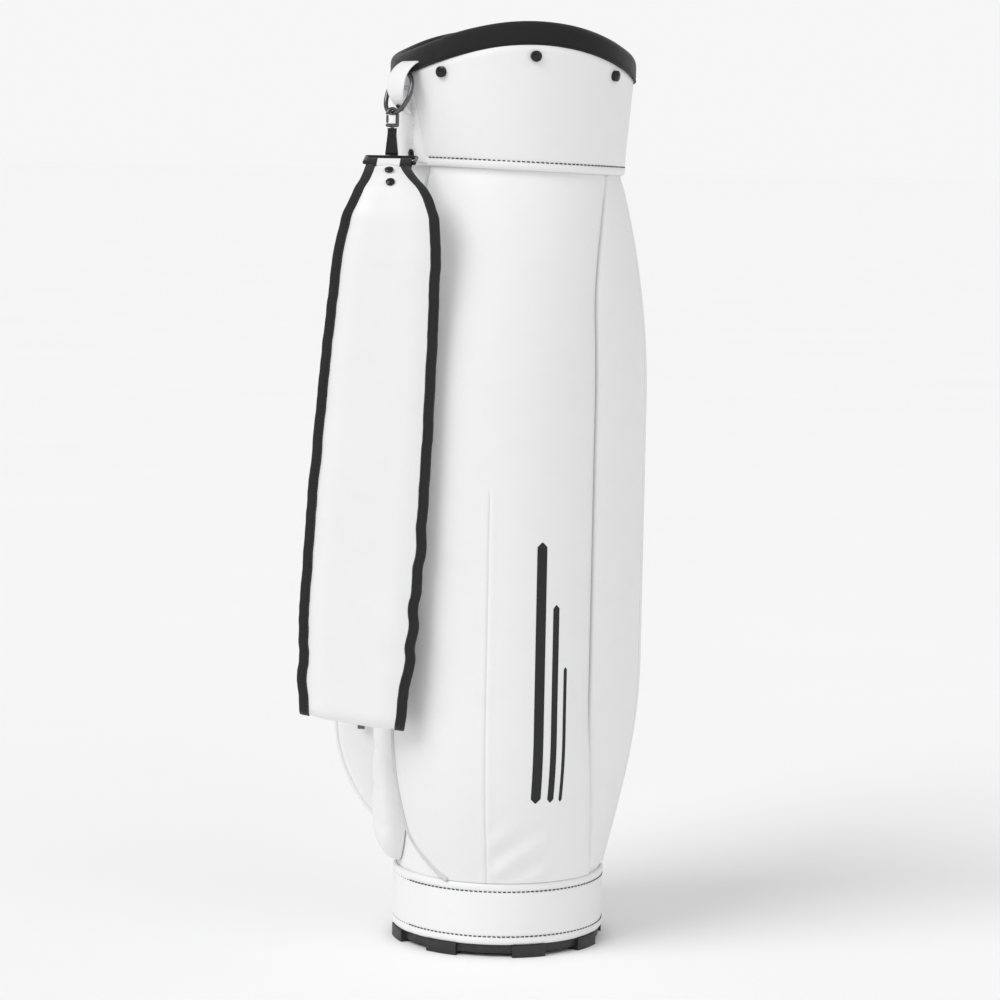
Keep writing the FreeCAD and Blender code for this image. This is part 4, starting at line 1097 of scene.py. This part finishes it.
def pockets():
    NEAR.build("near_pocket_shell")
    FAR.build("far_pocket_shell")
    FRONT.build("front_pocket_shell")
    # The near spine piping uses the greyed leather, painted shade of its groove.
    piping("near_spine_piping", *NEAR.edge(0, 1.0 * MM), radius=2.4 * MM, material=SHADED_PIPING_LEATHER)
    piping("near_front_piping", *NEAR.edge(1), radius=1.1 * MM)
    piping("far_spine_piping", *FAR.edge(1, 0.6 * MM), radius=2.2 * MM)
    piping("far_front_piping", *FAR.edge(0), radius=1.1 * MM)
    for name, angle in (("near", -PANEL_PIPING), ("far", PANEL_PIPING)):
        path, normals = FRONT.line(angle, FRONT.bottom + 2 * MM, FRONT.top, 0.9 * MM)
        piping("front_panel_piping_" + name, path, normals, 1.2 * MM)


# Angle, width, bottom and top of each bar.
BARS = [(-84.5, 10 * MM, 0.155, 0.405), (-77.6, 6.5 * MM, 0.155, 0.345),
        (-72.6, 3.5 * MM, 0.155, 0.285)]
INK_LIFT = 0.25 * MM
INK_SINK = 0.5 * MM


def graphic():
    """A plain printed mark of three upright bars."""
    for index, (angle, width, bottom, top) in enumerate(BARS):
        grid = []
        for z in np.linspace(bottom, top, 60):
            tip = min(1.0, (z - bottom) / (width / 2), (top - z) / (width / 2))
            half = width / 2 * math.sqrt(max(0.02, 1 - (1 - tip) ** 2))
            radius = NEAR.surface(z, angle)
            swing = [math.degrees(half * s / radius) for s in np.linspace(-1, 1, 7)]
            face = [(NEAR.surface(z, angle + a), angle + a) for a in swing]
            front = [polar(r + INK_LIFT, a, z) for r, a in face]
            back = [polar(r - INK_SINK, a, z) for r, a in reversed(face)]
            grid.append(front + back)
        piece = loft("printed_bar_" + str(index + 1), grid, sharp=60)
        finish_piece(piece, INK, "bag", "black_fabric")


HIP_BOTTOM = low("hip_pad").z
HIP_TOP = high("hip_pad").z
HIP_CHANNEL = 36 * MM                        # height of one sewn channel
HIP_HALF = 17.0
HIP_DEPTH = 24 * MM
HIP_RAMP = 42 * MM
HIP_EDGE = 1.5 * MM
HIP_CORNER = 55 * MM                         # height over which each end rounds off
HIP_END = 0.35                               # width of the very end, as a share of the full width
QUILT_DEPTH = 2.6 * MM


def rounded(value):
    """Rises from 0 to 1 as a quarter circle does."""
    return math.sqrt(max(0.0, 1 - (1 - min(1.0, value)) ** 2))


def hip_depth(z, share):
    """How far the quilted face stands out. `share` runs from -1 to 1 across the pad."""
    from_end = min(z - HIP_BOTTOM, HIP_TOP - z)
    crown = rounded(from_end / HIP_RAMP) * rounded((1 - abs(share)) * 2.4)
    phase = ((z - HIP_BOTTOM) / HIP_CHANNEL) % 1.0
    dip = QUILT_DEPTH * (1 - math.sqrt(math.sin(math.pi * phase)))
    return HIP_EDGE + (HIP_DEPTH - HIP_EDGE - dip) * crown


def hip_half(z):
    """Half angle of the pad at a height, less towards its rounded ends."""
    from_end = min(z - HIP_BOTTOM, HIP_TOP - z)
    return HIP_HALF * (HIP_END + (1 - HIP_END) * rounded(from_end / HIP_CORNER))


def hip_pad():
    """Foam pad on the spine with sewn channels across it."""
    shares = [math.sin(math.pi / 2 * s) for s in np.linspace(-1, 1, 37)]
    grid = []
    for z in np.linspace(HIP_BOTTOM, HIP_TOP, 150):
        front = [polar(TUBE_R + hip_depth(z, s), SPINE + hip_half(z) * s, z) for s in shares]
        back = [polar(TUBE_R + CLEAR, SPINE + hip_half(z) * s, z) for s in reversed(shares)]
        grid.append(front + back)
    piece = loft("hip_cushion", grid)
    puff(piece, 3 * MM)
    finish_piece(piece, WHITE_LEATHER, "bag", "white_leather", ["hip_pad"])


PUFF_STEPS = 12
PUFF_PRESSURE = 3


def puff(piece, most):
    """Puffs a padded piece with a short pressure simulation, then applies the result."""
    scene = bpy.context.scene
    rest = np.array([tuple(v.co) for v in piece.data.vertices])
    cloth = piece.modifiers.new("cloth", "CLOTH")
    cloth.settings.use_pressure = True
    cloth.settings.uniform_pressure_force = PUFF_PRESSURE
    cloth.settings.effector_weights.gravity = 0
    cloth.settings.quality = 4
    cloth.point_cache.frame_start = 1
    cloth.point_cache.frame_end = PUFF_STEPS
    for step in range(1, PUFF_STEPS + 1):
        scene.frame_set(step)
    evaluated = piece.evaluated_get(bpy.context.evaluated_depsgraph_get())
    moved = np.array([tuple(v.co) for v in evaluated.data.vertices])
    piece.modifiers.remove(cloth)
    shift = moved - rest
    length = np.linalg.norm(shift, axis=1, keepdims=True)
    shift *= np.minimum(1.0, most / np.maximum(length, 1e-9))
    piece.data.vertices.foreach_set("co", (rest + shift).ravel())
    piece.data.update()
    scene.frame_set(1)


# ---- zips ------------------------------------------------------------------------------------------
TAPE_HALF = 13 * MM
ZIP_GAP = 0.6 * MM
TAPE_THICK = 0.8 * MM
TOOTH_PITCH = 2.2 * MM
TOOTH_SIZE = (3.4 * MM, 0.75 * MM, 0.6 * MM)  # length and half width across the tape, half height
TOOTH_SHIFT = 0.9 * MM                       # from the zip's middle line to a tooth's middle
TOOTH_LIFT = 0.55 * MM
FRONT_ZIP_ANGLE = 30.0
FRONT_ZIP_TOP = high("front_zip_tape").z
ZIPS = {"near": (NEAR_GUSSET, TUBE_R + 17 * MM, NEAR_GUSSET - 90),
        "far": (FAR_GUSSET, TUBE_R + 40 * MM, FAR_GUSSET + 90),
        "front": (FRONT_ZIP_ANGLE, FRONT.face(FRONT_ZIP_TOP, FRONT_ZIP_ANGLE),
                  FRONT.facing(FRONT_ZIP_TOP, FRONT_ZIP_ANGLE))}


def zip_fastener(name, angle, out, facing):
    """Woven tape with two rows of moulded teeth and a row of stitches down each side."""
    node = name + "_zip_tape"
    bottom = low(node).z
    top = high(node).z
    seat = polar(out, angle, 0)

    def at(x, y, z):
        return turned((x, y, z), facing, seat)

    middle = ZIP_GAP + TAPE_THICK / 2
    path = [at(0, middle, z) for z in np.arange(bottom, top + MM, 4 * MM)]
    normals = [outwards(facing)] * len(path)
    tape = sweep(node + "_cloth", path, normals, flat_oval(TAPE_HALF, TAPE_THICK / 2, 28, 0.25))
    finish_piece(tape, WHITE_TAPE, "bag", "zip_tape", [node])
    template, faces = capsule(8, 6)
    side = np.array(turned((1, 0, 0), facing))
    out_direction = np.array(outwards(facing))
    places = []
    for index, z in enumerate(np.arange(bottom + 3 * MM, top - 3 * MM, TOOTH_PITCH / 2)):
        sign = 1 if index % 2 else -1
        origin = np.array(at(sign * TOOTH_SHIFT, ZIP_GAP + TAPE_THICK + TOOTH_LIFT, z))
        places.append((origin, side * sign, out_direction, TOOTH_SIZE))
    teeth = joined(name + "_zip_teeth", template, places, faces)
    finish_piece(teeth, TEETH_PLASTIC, "bag", "zip_tape")
    for label, sign in (("left", -1), ("right", 1)):
        row = [at(sign * (TAPE_HALF - 2 * MM), ZIP_GAP + TAPE_THICK, z)
               for z in np.arange(bottom + 2 * MM, top - 2 * MM, 4 * MM)]
        stitches(name + "_zip_stitches_" + label, row, [outwards(facing)] * len(row),
                 WHITE_THREAD, slot="zip_tape")


# ---- strap -----------------------------------------------------------------------------------------
STRAP_FACING = 255.0
STRAP_ORIGIN = polar(136.68 * MM, TAB_ANGLE, 0)   # under the ring's foot, as in the CAD
LOOP_BAR = (18 * MM, 757 * MM)               # outwards and height of the loop's front wire
PAD_DRIFT = 0.062                            # how far the pad leans sideways as it hangs
PAD_SHIFT = 9 * MM                           # the pad steps sideways just below the loop
PAD_SHIFT_RUN = 35 * MM
PAD_BOTTOM_LEAN = 0.13                       # the fold is higher on the side away from the bag
# Outwards, height, half width and thickness down the front, round the fold and up the back.
PAD_STATIONS = [
    (24, 753, 20.5, 7), (36, 745, 23.5, 9), (48, 731, 35, 9), (56, 708, 45, 9.5),
    (58, 672, 50, 10), (58, 560, 54, 10), (58, 440, 56.5, 10), (58, 330, 56, 10),
    (58, 239, 50, 9), (55.9, 234, 49.5, 8.5), (51, 232, 49, 8.5), (46.1, 234, 48.5, 8.5),
    (44, 239, 47, 8.5), (44, 300, 40, 8.5), (44, 340, 26, 8), (44, 356, 18, 6)]
PAD_STEPS = 260
BINDING = 10 * MM
BINDING_EXTRA = 2 * MM                       # the binding is this much thicker than the edge in it
PAD_INSET = 0.97                             # the pad's own edge, as a share of its half width
PAD_EDGE = 5 * MM                            # thickness of the pad inside its binding


def on_strap(x, y, z):
    return turned((x, y, z), STRAP_FACING, STRAP_ORIGIN)


def pad_drift(z):
    """Sideways place of the pad's middle line at a height."""
    drop = PAD_STATIONS[0][1] * MM - z
    step = math.sin(min(1.0, max(0.0, drop) / PAD_SHIFT_RUN) * math.pi / 2)
    return PAD_DRIFT * drop - PAD_SHIFT * step


class Pad:
    """Even steps along the strap pad's middle, with its normal, half width and thickness."""

    def __init__(self):
        table = np.array(PAD_STATIONS, float) * MM
        runs = np.linalg.norm(np.diff(table[:, :2], axis=0), axis=1)
        along = np.concatenate([[0], np.cumsum(runs)])
        places = np.linspace(0, along[-1], PAD_STEPS)
        columns = [np.interp(places, along, table[:, k]) for k in range(4)]
        for k in (2, 3):
            for _ in range(6):
                columns[k][1:-1] = (columns[k][:-2] + 2 * columns[k][1:-1] + columns[k][2:]) / 4
        self.line = relaxed(np.stack([columns[0], columns[1], np.zeros(PAD_STEPS)], axis=1), 3)[:, :2]
        self.half = columns[2]
        self.thick = columns[3]
        step = tangents(self.line)
        self.normal = np.stack([-step[:, 1], step[:, 0]], axis=1)
        self.places = places

    def wave(self, index, side):
        """How far the edge strays sideways: the side against the bag is slacker."""
        z = self.line[index][1]
        if side < 0:
            slack = 0.5 + 2.0 * smooth((0.47 - z) / 0.13)
        else:
            slack = 0.5 + smooth((0.40 - z) / 0.15)
        bend = ripple((self.places[index], side, 0), 27 * MM, 4.0)
        fine = ripple((self.places[index], side, 0), 9 * MM, 6.0)
        return (1.7 * slack * bend + 0.45 * fine) * MM

    def edge(self, index, side):
        return self.half[index] + self.wave(index, side)

    def point(self, index, share, lift):
        """A point `share` of the way to one edge, `lift` off the middle surface."""
        side = 1 if share > 0 else -1
        x = share * self.edge(index, side)
        y, z = self.line[index] + self.normal[index] * lift
        lean = PAD_BOTTOM_LEAN * smooth((0.48 - z) / 0.24)
        flutter = 1.6 * MM * abs(share) ** 3 * ripple((self.places[index], side, 1), 45 * MM, 9.0)
        flutter *= smooth((0.70 - z) / 0.2)
        y += self.normal[index][0] * flutter
        return on_strap(x + pad_drift(z), y, z + lean * x)

    def swell(self, index, share):
        """Half thickness: crowned in the middle and pressed flat under the binding."""
        inside = (1 - abs(share)) * self.half[index] - BINDING
        puff = math.sqrt(smooth(inside / (16 * MM)))
        middle = max(self.thick[index], PAD_EDGE)
        return (PAD_EDGE + (middle - PAD_EDGE) * puff) / 2

    def direction(self, index):
        y, z = self.normal[index]
        return turned((0, y, z), STRAP_FACING)


def strap_pad():
    """The padded strip, folded at its foot, with its bound and stitched edges."""
    pad = Pad()
    shares = [math.sin(math.pi / 2 * s) for s in np.linspace(-1, 1, 45)]
    grid = []
    for i in range(PAD_STEPS):
        front = [pad.point(i, s * PAD_INSET, pad.swell(i, s)) for s in shares]
        back = [pad.point(i, s * PAD_INSET, -pad.swell(i, s)) for s in reversed(shares)]
        grid.append(front + back)
    piece = loft("strap_cushion", grid)
    finish_piece(piece, PAD_LEATHER, "strap", "white_leather", ["strap_pad"])
    tall = PAD_EDGE + BINDING_EXTRA
    oval = flat_oval(0.5, 0.5, 22, 0.3)
    for name, side in (("bag_side", -1), ("outer_side", 1)):
        rows = []
        seam = []
        directions = []
        for i in range(PAD_STEPS):
            width = BINDING / pad.edge(i, side)
            rows.append([pad.point(i, side * (1.015 - width * (0.5 - a)), b * tall)
                         for a, b in oval])
            seam.append(pad.point(i, side * (1 - width * 0.78), tall / 2))
            directions.append(pad.direction(i))
        tape = loft("strap_binding_" + name, rows)
        finish_piece(tape, WEBBING, "strap", "black_fabric")
        stitches("strap_stitches_" + name, seam, directions, BLACK_THREAD, "strap", 3.6 * MM,
                 0.4 * MM)


SLEEVE_DROP = 10 * MM                        # how far the sleeve reaches down the pad
# Radius round the wire and half thickness.
SLEEVE_LEATHER = (3.2 * MM, 0.9 * MM)
SLEEVE_BINDING = (3.5 * MM, 1.1 * MM)
SLEEVE_BINDING_HALF = 5.2 * MM


def strap_sleeve():
    """The pad's top edge, wrapped round the loop's front wire."""
    bar = np.array(LOOP_BAR)
    down = np.array([PAD_STATIONS[1][k] - PAD_STATIONS[0][k] for k in (0, 1)], float)
    down /= np.linalg.norm(down)
    up = np.array([-down[1], down[0]])
    half = PAD_STATIONS[0][2] * MM
    pieces = [("leather", SLEEVE_LEATHER, 0.0, half - 0.5 * MM, PAD_LEATHER, "white_leather")]
    pieces += [("binding_" + name, SLEEVE_BINDING, side * (half - 4.6 * MM), SLEEVE_BINDING_HALF,
                WEBBING, "black_fabric") for name, side in (("left", 1), ("right", -1))]
    for name, (radius, thick), shift, width, material, slot in pieces:
        line = [bar - up * radius + down * SLEEVE_DROP]
        facing = [-up]
        for turn in np.linspace(0, math.pi, 16):
            out = -up * math.cos(turn) - down * math.sin(turn)
            line.append(bar + out * radius)
            facing.append(out)
        line.append(bar + up * radius + down * SLEEVE_DROP)
        facing.append(up)
        path = [on_strap(shift, *point) for point in line]
        normals = [turned((0, *out), STRAP_FACING) for out in facing]
        piece = sweep("strap_sleeve_" + name, path, normals, flat_oval(width, thick, 24, 0.25))
        finish_piece(piece, material, "strap", slot)


TAIL_OUT = 44.0                              # as in the CAD, in the strap's frame, in mm
TAIL_HEIGHT = 353.0
TAIL_END = (9.85, -48.9, 406.0)
TAIL_BAR_UP = 4.4
TAIL_HALF = 15 * MM
TAIL_HALF_THICK = 1.1 * MM
TAIL_TURN_R = 4.2 * MM                       # radius of the webbing's turn round the hook's bar
TAIL_LAP = 26 * MM                           # length sewn back on itself


def strap_tail():
    """Webbing from the pad's narrow end, round the hook's bar and sewn back on itself."""
    drift = pad_drift((TAIL_HEIGHT - 1) * MM)
    start = np.array((drift, TAIL_OUT * MM, TAIL_HEIGHT * MM))
    end = np.array(TAIL_END) * MM
    along = (end - start) / np.linalg.norm(end - start)
    across = np.array([1.0, 0.0, 0.0])
    up = np.cross(across, along)
    up *= np.sign(up[2])
    bar = end + np.array([0, 0, TAIL_BAR_UP * MM])
    line = [start - along * 6 * MM, start + (end - start) * 0.5, end - along * 10 * MM]
    line += [bar + TAIL_TURN_R * (along * math.sin(t) - up * math.cos(t))
             for t in np.linspace(0, math.pi, 12)]
    line.append(bar + up * TAIL_TURN_R - along * 12 * MM)
    line.append(end - along * TAIL_LAP + up * 2.6 * MM)
    path = relaxed([on_strap(*p) for p in resample(line, 2.5 * MM)], 2)
    steps = tangents(path)
    side = np.array(turned(across, STRAP_FACING))
    normals = np.cross(side, steps)
    piece = sweep("tail_webbing", path, normals, flat_oval(TAIL_HALF, TAIL_HALF_THICK, 26, 0.2))
    finish_piece(piece, WEBBING, "strap", "black_fabric", ["strap_tail"])


# ---- studio ------------------------------------------------------------------------------------------
VIEW_AZIMUTH = -10.0
EYE_HEIGHT = 0.759                           # the camera's place and aim, in metres
EYE_DISTANCE = 3.136
AIM_HEIGHT = 0.431
AIM_LEFT = 0.005
CAMERA_ROLL = 1.1
LENS = 116.1
BACKDROP = 0.925                             # as bright as the far floor
AMBIENT = 0.6                                # light from the studio on everything but the camera


FLOOR_RINGS = (0.4, 1.5, 14.0, 300.0)
FLOOR_SIDES = 64


def studio_floor():
    """A disc that reaches the horizon."""
    floor_mesh = bpy.data.meshes.new("studio_floor")
    verts = [tuple(polar(radius, 360 * k / FLOOR_SIDES, 0))
             for radius in FLOOR_RINGS for k in range(FLOOR_SIDES)]
    verts.append((0, 0, 0))
    around = [(k, (k + 1) % FLOOR_SIDES) for k in range(FLOOR_SIDES)]
    faces = [(len(verts) - 1, k, k2) for k, k2 in around]
    for ring in range(len(FLOOR_RINGS) - 1):
        inner = ring * FLOOR_SIDES
        outer = inner + FLOOR_SIDES
        faces += [(inner + k, outer + k, outer + k2, inner + k2) for k, k2 in around]
    floor_mesh.from_pydata(verts, [], faces)
    floor_mesh.materials.append(floor_look())
    floor = bpy.data.objects.new("studio_floor", floor_mesh)
    bpy.context.scene.collection.objects.link(floor)


def studio_light():
    """Even light from all round, with a broad key light and a weak fill."""
    world = bpy.data.worlds.new("studio")
    world.use_nodes = True
    tree = world.node_tree
    background = tree.nodes["Background"]
    background.inputs["Color"].default_value = (1.0, 1.0, 1.0, 1.0)
    seen = tree.nodes.new("ShaderNodeLightPath")
    strength = tree.nodes.new("ShaderNodeMapRange")
    strength.inputs["To Min"].default_value = AMBIENT
    strength.inputs["To Max"].default_value = BACKDROP
    tree.links.new(seen.outputs["Is Camera Ray"], strength.inputs["Value"])
    tree.links.new(strength.outputs["Result"], background.inputs["Strength"])
    bpy.context.scene.world = world
    soft_sun("key", -62.0, 42.0, 1.45, 38.0)
    soft_sun("fill", 35.0, 30.0, 0.35, 60.0)
    bpy.context.scene.view_settings.view_transform = "Standard"


def soft_sun(name, azimuth, elevation, strength, spread):
    """A broad far light. Azimuth is measured as for the camera."""
    lamp = bpy.data.lights.new(name, "SUN")
    lamp.energy = strength
    lamp.angle = math.radians(spread)
    holder = bpy.data.objects.new(name, lamp)
    turn = math.radians(azimuth)
    rise = math.radians(elevation)
    towards = Vector((math.sin(turn) * math.cos(rise), -math.cos(turn) * math.cos(rise),
                      math.sin(rise)))
    holder.rotation_euler = towards.to_track_quat("Z", "Y").to_euler()
    bpy.context.scene.collection.objects.link(holder)


def camera():
    """A long lens level with the strap's loop, looking at the near side of the bag."""
    lens = bpy.data.cameras.new("camera")
    lens.lens = LENS
    lens.sensor_width = 36.0
    holder = bpy.data.objects.new("camera", lens)
    turn = math.radians(VIEW_AZIMUTH)
    right = Vector((math.cos(turn), math.sin(turn), 0))
    away = Vector((-math.sin(turn), math.cos(turn), 0))
    place = right * -AIM_LEFT - away * EYE_DISTANCE + Vector((0, 0, EYE_HEIGHT))
    aim = right * -AIM_LEFT + Vector((0, 0, AIM_HEIGHT)) - place
    facing = aim.to_track_quat("-Z", "Y").to_matrix()
    roll = Matrix.Rotation(math.radians(CAMERA_ROLL), 3, "Z")
    holder.matrix_world = Matrix.Translation(place) @ (facing @ roll).to_4x4()
    bpy.context.scene.collection.objects.link(holder)
    bpy.context.scene.camera = holder


dress_cad_nodes()
band()
cuff()
rim()
spine_cover()
ring_tab()
grab_handle()
dividers()
pockets()
graphic()
hip_pad()
for zip_name, place in ZIPS.items():
    zip_fastener(zip_name, *place)
strap_pad()
strap_sleeve()
strap_tail()
studio_floor()
studio_light()
camera()
